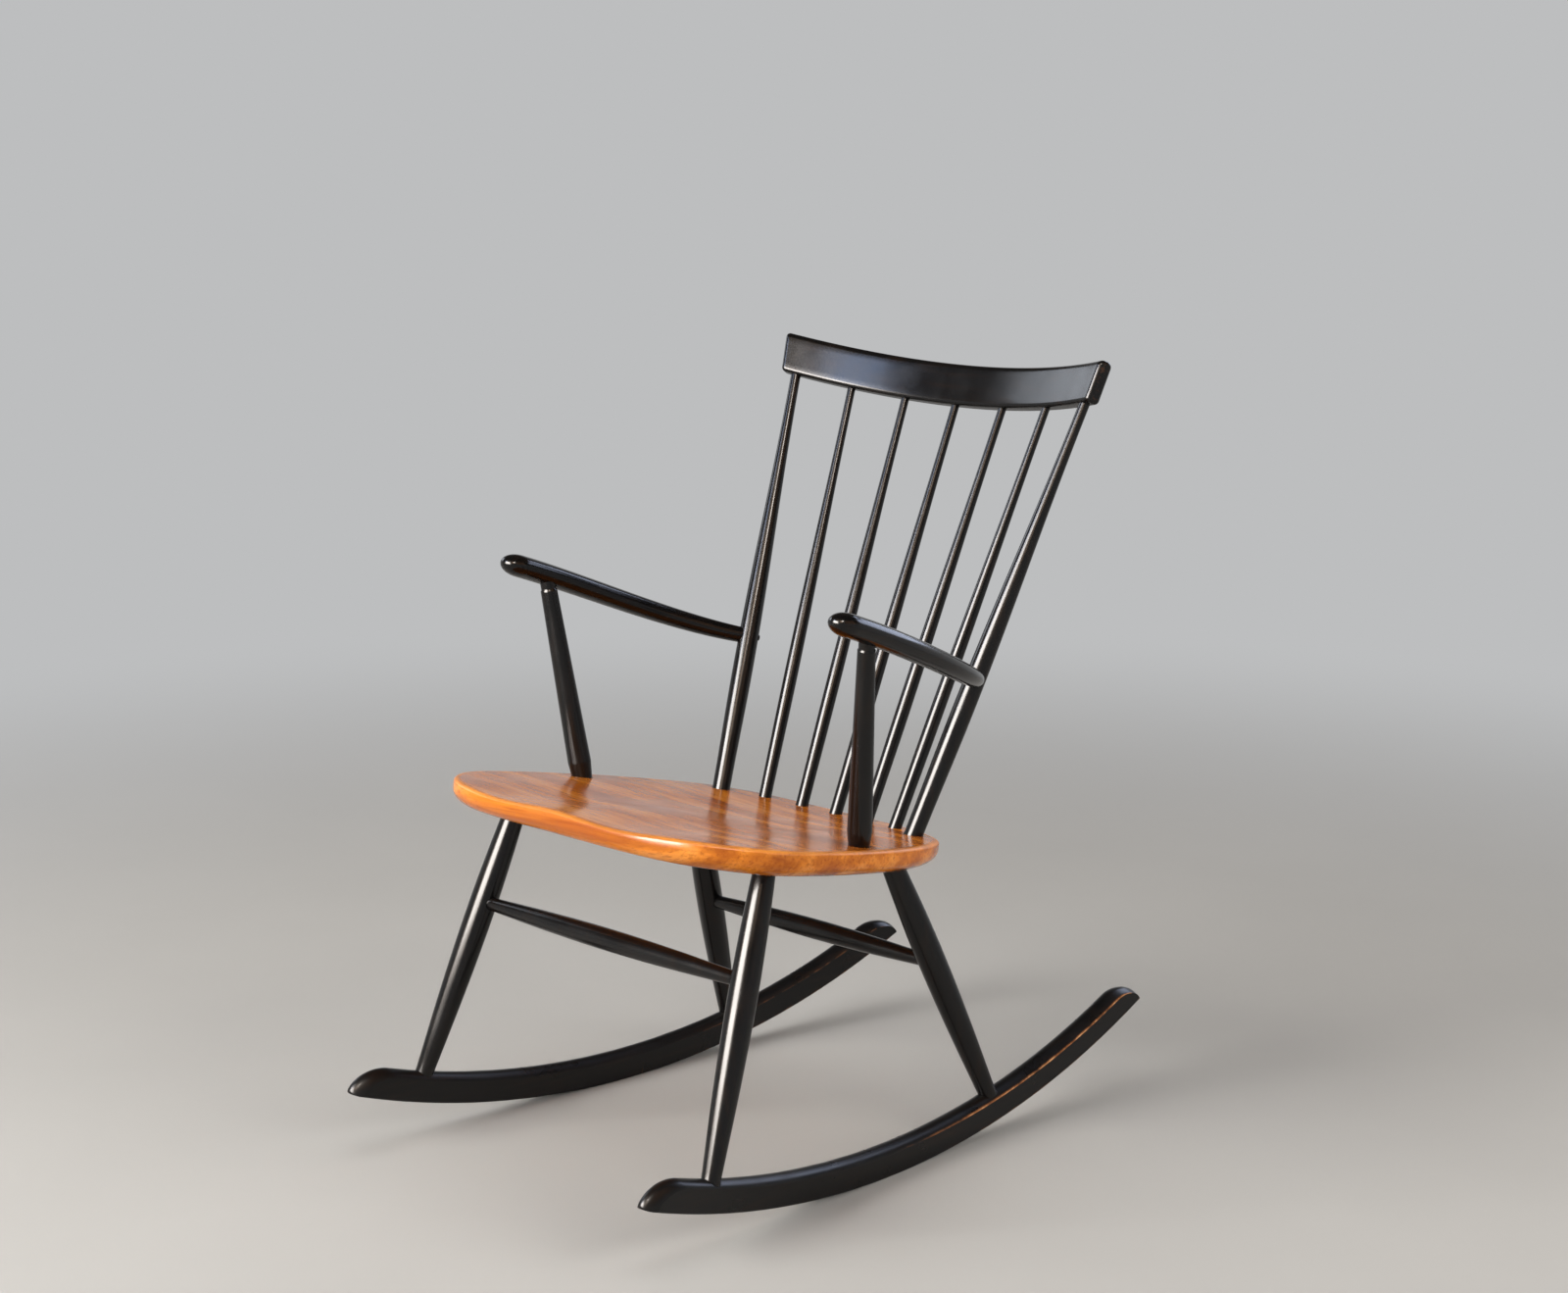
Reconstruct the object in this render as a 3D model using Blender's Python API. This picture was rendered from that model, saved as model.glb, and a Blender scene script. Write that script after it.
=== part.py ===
"""Spindle-back rocking chair: a saddled seat on turned legs, two rockers, a bent crest rail and arms.

Metres, +Z up. The sitter faces -Y and +X is the sitter's left. The origin lies on the floor under
the middle of the chair's box. At rest each rocker touches the floor at CONTACT_Y.
"""

from math import asin, atan2, ceil, cos, exp, pi, radians, sin, sqrt, tan
from typing import Callable, NamedTuple

import bmesh
import bpy
from mathutils import Vector
from mathutils.geometry import interpolate_bezier

# Fits
CLEARANCE = 0.0003

# Rockers, whose crown is the rounded top above their flat sides
ROCKER_RADIUS = 1.160
ROCKER_HEIGHT = 0.0356
ROCKER_THICKNESS = 0.025
ROCKER_CROWN = 0.0085
ROCKER_FRONT_REACH = 0.4015
ROCKER_REAR_REACH = 0.468
ROCKER_HALF_SPREAD = 0.230
ROCKER_TOE_IN = radians(2.95)
NOSE_LENGTH = 0.047
NOSE_SHARPNESS = 1.15
TIP_RADIUS = 0.0035
# How many times the crown's drop each nose draws back at the rocker's sides
FRONT_NOSE_ROLL = 1.9
REAR_NOSE_ROLL = 0.4

# Seat, with its slope down towards the back
SEAT_HEIGHT = 0.3762
SEAT_SLOPE = radians(10.4)
SEAT_THICKNESS = 0.0305
SEAT_FRONT = 0.336
SEAT_REAR = 0.137
SEAT_HALF_WIDTH = 0.2695
SEAT_WIDEST_AT = -0.190
FRONT_CORNER_X = 0.222
FRONT_CORNER_Y = -0.291
FRONT_CORNER_TURN = radians(43.8)
REAR_CORNER_X = 0.203
REAR_CORNER_Y = 0.075
REAR_CORNER_TURN = radians(126.9)
RIM_INSET = 0.008
RIM_DROP = 0.004
EDGE_BAND = 0.0105
UNDERCUT = 0.028
SADDLE_DEPTH = 0.007
SADDLE_CENTRE_Y = 0.005
SADDLE_REACH_X = 0.200
SADDLE_REACH_Y = 0.190
THIGH_X = 0.095
THIGH_SPREAD = 0.070
THIGH_DEPTH = 0.0045
THIGH_LENGTH = 0.345
THIGH_FADE = 0.230

# Pull of the seat's outline at its knots, before and after each one
FRONT_PULL = 0.10
FRONT_CORNER_PULLS = (0.075, 0.040)
WIDEST_PULLS = (0.050, 0.085)
REAR_CORNER_PULLS = (0.085, 0.050)
REAR_PULL = 0.10

# Legs
LEG_FOOT_DIAMETER = 0.0215
LEG_BELLY_DIAMETER = 0.0328
LEG_BELLY_SHARE = 0.60
LEG_HEAD_DIAMETER = 0.0255
LEG_HOUSING = 0.0065
LEG_TENON_DIAMETER = 0.014
LEG_TENON_LENGTH = 0.016
LEG_SOCKET = 0.013
FRONT_FOOT_Y = -0.3265
FRONT_HEAD_X = 0.2075
FRONT_HEAD_Y = -0.2042
REAR_FOOT_Y = 0.1425
REAR_HEAD_X = 0.1635
REAR_HEAD_Y = 0.041

# Stretchers
STRETCHER_END_DIAMETER = 0.0155
FRONT_STRETCHER_DIAMETER = 0.0253
REAR_STRETCHER_DIAMETER = 0.0242
FRONT_STRETCHER_HEIGHT = 0.2708
REAR_STRETCHER_HEIGHT = 0.2138
STRETCHER_SOCKET = 0.012

# Back posts and spindles
POST_FOOT_X = 0.1612
POST_FOOT_Y = 0.0765
POST_TOP_X = 0.2358
POST_FOOT_DIAMETER = 0.022
POST_BELLY_DIAMETER = 0.0252
POST_BELLY_SHARE = 0.28
POST_HEAD_DIAMETER = 0.0125
POST_SEAT_SOCKET = 0.020
POST_CREST_SOCKET = 0.022
SPINDLE_COUNT = 5
SPINDLE_FOOT_PITCH = 0.0545
SPINDLE_TOP_PITCH = 0.0795
SPINDLE_ROW_Y = 0.1145
SPINDLE_ROW_RADIUS = 0.46
SPINDLE_FOOT_DIAMETER = 0.0155
SPINDLE_BELLY_DIAMETER = 0.0168
SPINDLE_BELLY_SHARE = 0.26
SPINDLE_HEAD_DIAMETER = 0.0098
SPINDLE_SEAT_SOCKET = 0.018
SPINDLE_CREST_SOCKET = 0.018

# Crest rail, bent about an axis that leans back with the middle spindle
CREST_Y = 0.3202
CREST_RISE = 0.4514
CREST_BEND_RADIUS = 0.63
CREST_HALF_LENGTH = 0.2518
CREST_END_FLARE = radians(8.5)
CREST_THICKNESS = 0.0185
CREST_DEPTH = 0.052
CREST_END_DEPTH = 0.0507
CREST_END_LIFT = 0.0064
CREST_TOP_ROUND = 0.0075
CREST_BOTTOM_ROUND = 0.005
CREST_END_ROUND = 0.005

# Arms, with their heights above the seat's
ARM_TIP_X = 0.2714
ARM_TIP_Y = -0.172
ARM_TIP_RISE = 0.2839
ARM_FRONT_BEND_X = 0.2725
ARM_FRONT_BEND_Y = -0.066
ARM_FRONT_BEND_RISE = 0.2504
ARM_REAR_BEND_X = 0.2586
ARM_REAR_BEND_Y = 0.0778
ARM_REAR_BEND_RISE = 0.1812
ARM_REAR_RISE = 0.1629
ARM_FRONT_WIDTH = 0.0371
ARM_FRONT_THICKNESS = 0.0268
ARM_REAR_DIAMETER = 0.019
ARM_TAPER_POWER = 2.3
ARM_NOSE_LENGTH = 0.024
ARM_NOSE_FLAT = 0.12

# Arm posts
ARM_POST_FOOT_X = 0.2319
ARM_POST_FOOT_Y = -0.088
ARM_POST_SHARE = 0.18
ARM_POST_INSET = 0.005
ARM_POST_FOOT_DIAMETER = 0.0243
ARM_POST_BELLY_DIAMETER = 0.0282
ARM_POST_BELLY_SHARE = 0.08
ARM_POST_HEAD_DIAMETER = 0.020
ARM_POST_NECK_DIAMETER = 0.018
ARM_POST_NECK = 0.004
ARM_POST_SOCKET = 0.015

# Arm screws
SCREW_HEAD_DIAMETER = 0.008
SCREW_HEAD_HEIGHT = 0.0022
SCREW_SHANK_DIAMETER = 0.004
SCREW_BITE = 0.024
SCREW_SPOT_FACE = 0.0008

# Facets
ROCKER_FACET = 0.060
CROWN_STEPS = 6
NOSE_STEPS = 5
TURNED_RINGS = 8
LEG_SIDES = 18
POST_SIDES = 16
SPINDLE_SIDES = 12
SCREW_SIDES = 12
DOME_STEPS = 4
SEAT_CURVE_STEPS = 9
EDGE_STEPS = 5
SADDLE_RINGS = 7
ARM_SIDES = 16
ARM_RINGS = 12
ARM_NOSE_RINGS = 4
CREST_STATIONS = 14
CORNER_STEPS = 3
SHARP_ANGLE = radians(35)

# Where the rockers touch the floor, so that their tips lie evenly about the origin
CONTACT_Y = -(ROCKER_REAR_REACH - ROCKER_FRONT_REACH) / 2 * cos(ROCKER_TOE_IN)

LEFT = 1
RIGHT = -1
SIDES = {"left": LEFT, "right": RIGHT}
UP = Vector((0, 0, 1))


def barrel(distance):
    """Fall of a turned outline that is fullest at its belly, over a distance from 0 to 1."""
    return 1 - cos(pi / 2 * distance)


def drawn_out(distance):
    """Fall of a turned outline that runs from its belly to a slender end."""
    return (1 - cos(pi * distance)) / 2


def straight(distance):
    """Fall of a plain taper."""
    return distance


class Turning(NamedTuple):
    """Diameters of a turned member, its belly's share of the length from the foot, and its outline."""

    foot: float
    belly: float
    belly_share: float
    head: float
    fall: Callable


LEG = Turning(LEG_FOOT_DIAMETER, LEG_BELLY_DIAMETER, LEG_BELLY_SHARE, LEG_HEAD_DIAMETER, barrel)
POST = Turning(POST_FOOT_DIAMETER, POST_BELLY_DIAMETER, POST_BELLY_SHARE, POST_HEAD_DIAMETER, drawn_out)
SPINDLE = Turning(
    SPINDLE_FOOT_DIAMETER, SPINDLE_BELLY_DIAMETER, SPINDLE_BELLY_SHARE, SPINDLE_HEAD_DIAMETER, drawn_out
)
ARM_POST = Turning(
    ARM_POST_FOOT_DIAMETER,
    ARM_POST_BELLY_DIAMETER,
    ARM_POST_BELLY_SHARE,
    ARM_POST_HEAD_DIAMETER,
    straight,
)


class Member(NamedTuple):
    """A turned member between the two surfaces that it runs into."""

    foot: Vector
    head: Vector
    shape: Turning

    def axis(self):
        return (self.head - self.foot).normalized()

    def length(self):
        return (self.head - self.foot).length

    def at_height(self, height):
        """The point of the axis at a height above the floor."""
        share = (height - self.foot.z) / (self.head.z - self.foot.z)
        return self.foot.lerp(self.head, share)

    def radius_at(self, point):
        return swell(self.shape, (point - self.foot).dot(self.axis()) / self.length())


def clear_scene():
    for obj in list(bpy.data.objects):
        bpy.data.objects.remove(obj)


def finish(name, colour, roughness, metallic=0.0):
    material = bpy.data.materials.new(name)
    material.use_nodes = True
    shader = material.node_tree.nodes["Principled BSDF"]
    shader.inputs["Base Color"].default_value = (*colour, 1.0)
    shader.inputs["Roughness"].default_value = roughness
    shader.inputs["Metallic"].default_value = metallic
    return material


def add_object(name, mesh, material, parent):
    obj = bpy.data.objects.new(name, mesh)
    bpy.context.scene.collection.objects.link(obj)
    mesh.materials.append(material)
    obj.parent = parent
    return obj


def loft(name, rings):
    """A closed mesh skinned over rings that have the same number of points, with flat ends."""
    bm = bmesh.new()
    loops = [[bm.verts.new(point) for point in ring] for ring in rings]
    for near, far in zip(loops, loops[1:]):
        for i in range(len(near)):
            bm.faces.new((near[i - 1], near[i], far[i], far[i - 1]))
    bm.faces.new(loops[0])
    bm.faces.new(loops[-1])
    bmesh.ops.recalc_face_normals(bm, faces=bm.faces)
    mesh = bpy.data.meshes.new(name)
    bm.to_mesh(mesh)
    bm.free()
    mesh.shade_smooth()
    mesh.set_sharp_from_angle(angle=SHARP_ANGLE)
    return mesh


def stand_along(obj, point, direction):
    """Puts the object's origin at a point and turns its +Z along a direction."""
    obj.location = point
    obj.rotation_euler = direction.to_track_quat("Z", "Y").to_euler()


def revolve(obj, sides):
    """Turns the object's profile, which runs down its +X side, about its own Z axis."""
    screw = obj.modifiers.new("revolve", "SCREW")
    screw.steps = sides
    screw.render_steps = sides
    screw.use_merge_vertices = True
    screw.merge_threshold = 1e-5
    screw.use_smooth_shade = True


def profile_mesh(name, points):
    """A line of (radius, height) points, from the top of a turned piece to its bottom."""
    mesh = bpy.data.meshes.new(name)
    corners = [(radius, 0, height) for radius, height in points]
    mesh.from_pydata(corners, [(i, i + 1) for i in range(len(corners) - 1)], [])
    return mesh


def bore(target, mouth, inward, steps, lead, sides=POST_SIDES):
    """Cuts a round hole of (diameter, depth) steps, the widest first, from a lead outside its mouth.

    The hole is circumscribed, so that a faceted tenon clears it at any turn.
    """
    points = [(0, -lead)]
    start = -lead
    for diameter, depth in steps:
        radius = diameter / 2 / cos(pi / sides)
        points += [(radius, start), (radius, depth)]
        start = depth
    points.append((0, start))
    points.reverse()
    cutter = bpy.data.objects.new(target.name + "_bore", profile_mesh("bore", points))
    bpy.context.scene.collection.objects.link(cutter)
    revolve(cutter, sides)
    stand_along(cutter, mouth, inward)
    cutter.hide_render = True
    cutter.display_type = "WIRE"
    cut = target.modifiers.new("bore", "BOOLEAN")
    cut.operation = "DIFFERENCE"
    cut.solver = "EXACT"
    cut.object = cutter


def eased(steps):
    """The steps of a socket that clears a tenon's steps."""
    return [(diameter + 2 * CLEARANCE, reach + CLEARANCE) for diameter, reach in steps]


def swell(shape, share):
    """Radius of a turned member at a share of its length from the foot."""
    if share < shape.belly_share:
        end = shape.foot
        distance = (shape.belly_share - share) / shape.belly_share
    else:
        end = shape.head
        distance = (share - shape.belly_share) / (1 - shape.belly_share)
    return (shape.belly - (shape.belly - end) * shape.fall(min(distance, 1))) / 2


def turned(name, member, foot_steps, head_steps, sides, material, parent):
    """A turned member. Each step is the (diameter, reach) of a tenon beyond the member's own end."""
    length = member.length()
    head = []
    start = 0
    for diameter, reach in head_steps:
        head += [(diameter / 2, length + start), (diameter / 2, length + reach)]
        start = reach
    foot = []
    start = 0
    for diameter, reach in foot_steps:
        foot += [(diameter / 2, -start), (diameter / 2, -reach)]
        start = reach
    shares = [1 - i / TURNED_RINGS for i in range(TURNED_RINGS + 1)]
    body = [(swell(member.shape, share), length * share) for share in shares]
    points = [(0, head[-1][1])] + head[::-1] + body + foot + [(0, foot[-1][1])]
    line = [points[0]]
    for point in points[1:]:
        if (Vector(point) - Vector(line[-1])).length > CLEARANCE / 10:
            line.append(point)
    obj = add_object(name, profile_mesh(name, line), material, parent)
    revolve(obj, sides)
    stand_along(obj, member.foot, member.axis())
    return obj


# Rockers


def rocker_point(side, along, above, across=0.0):
    """A point of a rocker: arc length from the floor contact, height above its sole, and sideways."""
    pitch = ROCKER_FACET / ROCKER_RADIUS
    sole = ROCKER_RADIUS / cos(pitch / 2)
    turn = along / ROCKER_RADIUS
    forward = (sole - above) * sin(turn)
    height = ROCKER_RADIUS - (sole - above) * cos(turn)
    x = ROCKER_HALF_SPREAD + across * cos(ROCKER_TOE_IN) - forward * sin(ROCKER_TOE_IN)
    y = CONTACT_Y + across * sin(ROCKER_TOE_IN) + forward * cos(ROCKER_TOE_IN)
    return Vector((side * x, y, height))


def rocker_outline(inset):
    """(along, above) points round a rocker's side, with its top and noses drawn in by an inset."""
    front = -ROCKER_RADIUS * asin(ROCKER_FRONT_REACH / ROCKER_RADIUS)
    rear = ROCKER_RADIUS * asin(ROCKER_REAR_REACH / ROCKER_RADIUS)
    tip = max(TIP_RADIUS - inset, CLEARANCE)
    top = ROCKER_HEIGHT - inset

    def stations(margin):
        first = ceil((front + margin) / ROCKER_FACET - 0.5)
        last = -ceil((margin - rear) / ROCKER_FACET + 0.5)
        return [(k + 0.5) * ROCKER_FACET for k in range(first, last + 1)]

    def nose(end, way, roll):
        """From the sole up round a nose to the top, on the way towards the rocker's middle."""
        edge = end + way * roll * inset
        reach = NOSE_LENGTH - inset
        points = [(edge + way * tip, 0), (edge + way * tip * (1 - sin(pi / 4)), tip * (1 - cos(pi / 4)))]
        for i in range(NOSE_STEPS + 1):
            a = pi / 2 * i / NOSE_STEPS
            back = 1 - max(cos(a), 0) ** NOSE_SHARPNESS
            points.append((edge + way * reach * back, tip + (top - tip) * sin(a) ** NOSE_SHARPNESS))
        return points

    sole = [(along, 0) for along in stations(NOSE_LENGTH / 2)]
    crown = [(along, top) for along in stations(NOSE_LENGTH + ROCKER_CROWN * FRONT_NOSE_ROLL)[::-1]]
    front_nose = nose(front, 1, FRONT_NOSE_ROLL)
    return sole + nose(rear, -1, REAR_NOSE_ROLL) + crown + front_nose[::-1]


def add_rocker(name, side, material, parent):
    """A sawn runner, skinned across its thickness, with flat sides and a rounded crown."""
    half = ROCKER_THICKNESS / 2
    radius = (half * half + ROCKER_CROWN * ROCKER_CROWN) / (2 * ROCKER_CROWN)
    spread = asin(half / radius)
    rings = []
    for i in range(CROWN_STEPS + 1):
        a = spread * (2 * i / CROWN_STEPS - 1)
        outline = rocker_outline(radius * (1 - cos(a)))
        rings.append([rocker_point(side, along, above, radius * sin(a)) for along, above in outline])
    return add_object(name, loft(name, rings), material, parent)


def rocker_top(side, y):
    """The point on the middle line of a rocker's top at a given Y."""
    forward = (y - CONTACT_Y) / cos(ROCKER_TOE_IN)
    along = ROCKER_RADIUS * asin(forward / (ROCKER_RADIUS - ROCKER_HEIGHT))
    return rocker_point(side, along, ROCKER_HEIGHT)


# Seat


def seat_point(x, y, below=0.0):
    """A point under the seat's plane, at a plan position and a depth square to the plane."""
    down = Vector((0, -sin(SEAT_SLOPE), -cos(SEAT_SLOPE)))
    return Vector((x, y, SEAT_HEIGHT - y * tan(SEAT_SLOPE))) + down * below


def seat_outline():
    """Plan points of the seat's edge, right round, with their outward directions."""

    def knot(x, y, turn, pulls):
        return Vector((x, y)), Vector((cos(turn), sin(turn))), *pulls

    knots = [
        knot(0, -SEAT_FRONT, 0, (FRONT_PULL, FRONT_PULL)),
        knot(FRONT_CORNER_X, FRONT_CORNER_Y, FRONT_CORNER_TURN, FRONT_CORNER_PULLS),
        knot(SEAT_HALF_WIDTH, SEAT_WIDEST_AT, pi / 2, WIDEST_PULLS),
        knot(REAR_CORNER_X, REAR_CORNER_Y, REAR_CORNER_TURN, REAR_CORNER_PULLS),
        knot(0, SEAT_REAR, pi, (REAR_PULL, REAR_PULL)),
    ]
    half = []
    for (start, leaving, _, after), (end, arriving, before, _) in zip(knots, knots[1:]):
        handles = (start, start + leaving * after, end - arriving * before, end)
        half += interpolate_bezier(*handles, SEAT_CURVE_STEPS)[:-1]
    half.append(knots[-1][0])
    other = [Vector((-point.x, point.y)) for point in half[-2:0:-1]]
    points = [Vector(point[:2]) for point in half + other]
    normals = []
    for i in range(len(points)):
        run = points[(i + 1) % len(points)] - points[i - 1]
        normals.append(Vector((run.y, -run.x)).normalized())
    return list(zip(points, normals))


def saddle(x, y):
    """Height of the seat's top above its plane: a broad dish, and a trough for each thigh."""
    reach = (x / SADDLE_REACH_X) ** 2 + ((y - SADDLE_CENTRE_Y) / SADDLE_REACH_Y) ** 2
    dish = SADDLE_DEPTH * max(0, 1 - reach) ** 2
    share = min(1, max(0, (THIGH_LENGTH - SEAT_FRONT - y) / THIGH_FADE))
    troughs = sum(exp(-(((x - side * THIGH_X) / THIGH_SPREAD) ** 2)) for side in SIDES.values())
    return -dish - THIGH_DEPTH * troughs * share * share * (3 - 2 * share)


def add_seat(material, parent):
    """One plank: flat underside, undercut edge, rounded rim and saddled top."""
    edge = seat_outline()
    rings = []
    for i in range(EDGE_STEPS, -1, -1):
        a = pi / 2 * i / EDGE_STEPS
        inset = UNDERCUT * (1 - cos(a))
        height = -EDGE_BAND - (SEAT_THICKNESS - EDGE_BAND) * sin(a)
        rings.append([(*(point - normal * inset), height) for point, normal in edge])
    for i in range(CORNER_STEPS):
        a = pi / 2 * i / (CORNER_STEPS - 1)
        rim = [point - normal * RIM_INSET * (1 - cos(a)) for point, normal in edge]
        rings.append([(x, y, saddle(x, y) - RIM_DROP * (1 - sin(a))) for x, y in rim])
    centre = Vector((0, SADDLE_CENTRE_Y))
    for i in range(SADDLE_RINGS):
        inner = [centre.lerp(point, 1 - (i + 0.5) / SADDLE_RINGS) for point in rim]
        rings.append([(x, y, saddle(x, y)) for x, y in inner])
    rings = [[(x, y / cos(SEAT_SLOPE), z) for x, y, z in ring] for ring in rings]
    seat = add_object("seat", loft("seat", rings), material, parent)
    seat.location = (0, 0, SEAT_HEIGHT)
    seat.rotation_euler = (-SEAT_SLOPE, 0, 0)
    return seat


# Legs and stretchers


def leg_member(side, end):
    foot_y, head_x, head_y = {
        "front": (FRONT_FOOT_Y, FRONT_HEAD_X, FRONT_HEAD_Y),
        "rear": (REAR_FOOT_Y, REAR_HEAD_X, REAR_HEAD_Y),
    }[end]
    return Member(rocker_top(side, foot_y), seat_point(side * head_x, head_y, SEAT_THICKNESS), LEG)


def add_leg(name, side, end, seat, rocker, material, parent):
    """A leg housed a little way into the rocker's top, tenoned below that, and let into the seat."""
    member = leg_member(side, end)
    tenon = LEG_HOUSING + LEG_TENON_LENGTH
    foot_steps = [(LEG_FOOT_DIAMETER, LEG_HOUSING), (LEG_TENON_DIAMETER, tenon)]
    head_steps = [(LEG_HEAD_DIAMETER, LEG_SOCKET)]
    leg = turned(name, member, foot_steps, head_steps, LEG_SIDES, material, parent)
    axis = member.axis()
    bore(rocker, member.foot, -axis, eased(foot_steps), ROCKER_HEIGHT, LEG_SIDES)
    bore(seat, member.head, axis, eased(head_steps), SEAT_THICKNESS, LEG_SIDES)
    return leg


def add_stretcher(name, end, height, diameter, legs, material, parent):
    """A turned cross bar, let into the inner sides of a pair of legs."""
    member = leg_member(LEFT, end)
    middle = member.at_height(height)
    half = middle.x - member.radius_at(middle)
    left_end = Vector((half, middle.y, middle.z))
    right_end = Vector((-half, middle.y, middle.z))
    shape = Turning(STRETCHER_END_DIAMETER, diameter, 0.5, STRETCHER_END_DIAMETER, barrel)
    steps = [(STRETCHER_END_DIAMETER, STRETCHER_SOCKET)]
    bar = Member(right_end, left_end, shape)
    turned(name, bar, steps, steps, POST_SIDES, material, parent)
    bore(legs["left"], left_end, bar.axis(), eased(steps), LEG_BELLY_DIAMETER)
    bore(legs["right"], right_end, -bar.axis(), eased(steps), LEG_BELLY_DIAMETER)


# Back


def crest_point(x, above=0.0, behind=0.0):
    """A point of the crest rail: sideways, above its lower edge at mid-length, and behind its middle."""
    middle = Vector((0, CREST_Y, SEAT_HEIGHT + CREST_RISE))
    spindle_foot = seat_point(0, SPINDLE_ROW_Y)
    lean = atan2(middle.y - spindle_foot.y, middle.z - spindle_foot.z)
    leaning = Vector((0, cos(lean), -sin(lean)))
    rising = Vector((0, sin(lean), cos(lean)))
    turn = asin(x / CREST_BEND_RADIUS)
    radius = CREST_BEND_RADIUS + behind
    aside = Vector((radius * sin(turn), 0, 0))
    return middle + aside + leaning * (radius * cos(turn) - CREST_BEND_RADIUS) + rising * above


def crest_lower_edge(place):
    """Height of the rail's lower edge, at a place from -1 to 1 along it."""
    return CREST_END_LIFT * place**2


def crest_section(place, inset):
    """Ring of points round the crest rail at a place from -1 to 1 along it, drawn in by an inset."""
    low = crest_lower_edge(place)
    high = low + CREST_DEPTH + (CREST_END_DEPTH - CREST_DEPTH) * place**2
    corners = [
        (1, high, -1, CREST_TOP_ROUND),
        (-1, high, -1, CREST_TOP_ROUND),
        (-1, low, 1, CREST_BOTTOM_ROUND),
        (1, low, 1, CREST_BOTTOM_ROUND),
    ]
    ring = []
    for quarter, (back, edge, inward, corner_round) in enumerate(corners):
        radius = max(corner_round - inset, CLEARANCE)
        behind = back * (CREST_THICKNESS / 2 - inset - radius)
        above = edge + inward * (inset + radius)
        for i in range(CORNER_STEPS + 1):
            a = pi / 2 * (quarter + i / CORNER_STEPS)
            ring.append((behind + radius * cos(a), above + radius * sin(a)))
    widen = tan(CREST_END_FLARE)
    return [crest_point(place * (CREST_HALF_LENGTH + above * widen), above, behind) for behind, above in ring]


def add_crest_rail(material, parent):
    """The bent top rail, flared to the fan of the posts, with eased long edges and ends."""
    full = 1 - CREST_END_ROUND / CREST_HALF_LENGTH
    part_way = 1 - (1 - full) * (1 - sin(pi / 4))
    stations = [(full * (2 * i / CREST_STATIONS - 1), 0) for i in range(CREST_STATIONS + 1)]
    end = [(part_way, CREST_END_ROUND * (1 - cos(pi / 4))), (1, CREST_END_ROUND)]
    other_end = [(-place, inset) for place, inset in end[::-1]]
    rings = [crest_section(place, inset) for place, inset in other_end + stations + end]
    return add_object("crest_rail", loft("crest_rail", rings), material, parent)


def crest_socket_mouth(x):
    """The point of the rail's lower edge where an upright enters it."""
    return crest_point(x, crest_lower_edge(x / CREST_HALF_LENGTH))


def post_member(side):
    foot = seat_point(side * POST_FOOT_X, POST_FOOT_Y)
    return Member(foot, crest_socket_mouth(side * POST_TOP_X), POST)


def spindle_member(place):
    """A spindle, by its place in the row counted from the middle one."""
    foot_x = place * SPINDLE_FOOT_PITCH
    foot_y = SPINDLE_ROW_Y - SPINDLE_ROW_RADIUS + sqrt(SPINDLE_ROW_RADIUS**2 - foot_x**2)
    return Member(seat_point(foot_x, foot_y), crest_socket_mouth(place * SPINDLE_TOP_PITCH), SPINDLE)


def add_upright(name, member, seat_socket, crest_socket, sides, seat, crest, material, parent):
    """A post or spindle, plain at both ends, let into the seat and the crest rail."""
    foot_steps = [(member.shape.foot, seat_socket)]
    head_steps = [(member.shape.head, crest_socket)]
    upright = turned(name, member, foot_steps, head_steps, sides, material, parent)
    axis = member.axis()
    bore(seat, member.foot, -axis, eased(foot_steps), SEAT_THICKNESS, sides)
    bore(crest, member.head, axis, eased(head_steps), CREST_THICKNESS, sides)
    return upright


# Arms


def arm_line(side):
    """Control points of an arm's middle line, from its nose to the axis of its back post."""
    rises = [
        (ARM_TIP_X, ARM_TIP_Y, ARM_TIP_RISE),
        (ARM_FRONT_BEND_X, ARM_FRONT_BEND_Y, ARM_FRONT_BEND_RISE),
        (ARM_REAR_BEND_X, ARM_REAR_BEND_Y, ARM_REAR_BEND_RISE),
    ]
    points = [Vector((side * x, y, SEAT_HEIGHT + rise)) for x, y, rise in rises]
    return points + [post_member(side).at_height(SEAT_HEIGHT + ARM_REAR_RISE)]


def arm_frame(side, share):
    """Point, run, sideways and upward directions of an arm at a share of its line."""
    points = arm_line(side)
    while len(points) > 2:
        points = [start.lerp(end, share) for start, end in zip(points, points[1:])]
    run = (points[1] - points[0]).normalized()
    across = run.cross(UP).normalized()
    return points[0].lerp(points[1], share), run, across, across.cross(run)


def arm_sizes(share):
    """Width and thickness of an arm, which narrows from its nose to its round rear end."""
    ease = share**ARM_TAPER_POWER
    width = ARM_FRONT_WIDTH + (ARM_REAR_DIAMETER - ARM_FRONT_WIDTH) * ease
    thickness = ARM_FRONT_THICKNESS + (ARM_REAR_DIAMETER - ARM_FRONT_THICKNESS) * ease
    return width, thickness


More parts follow.
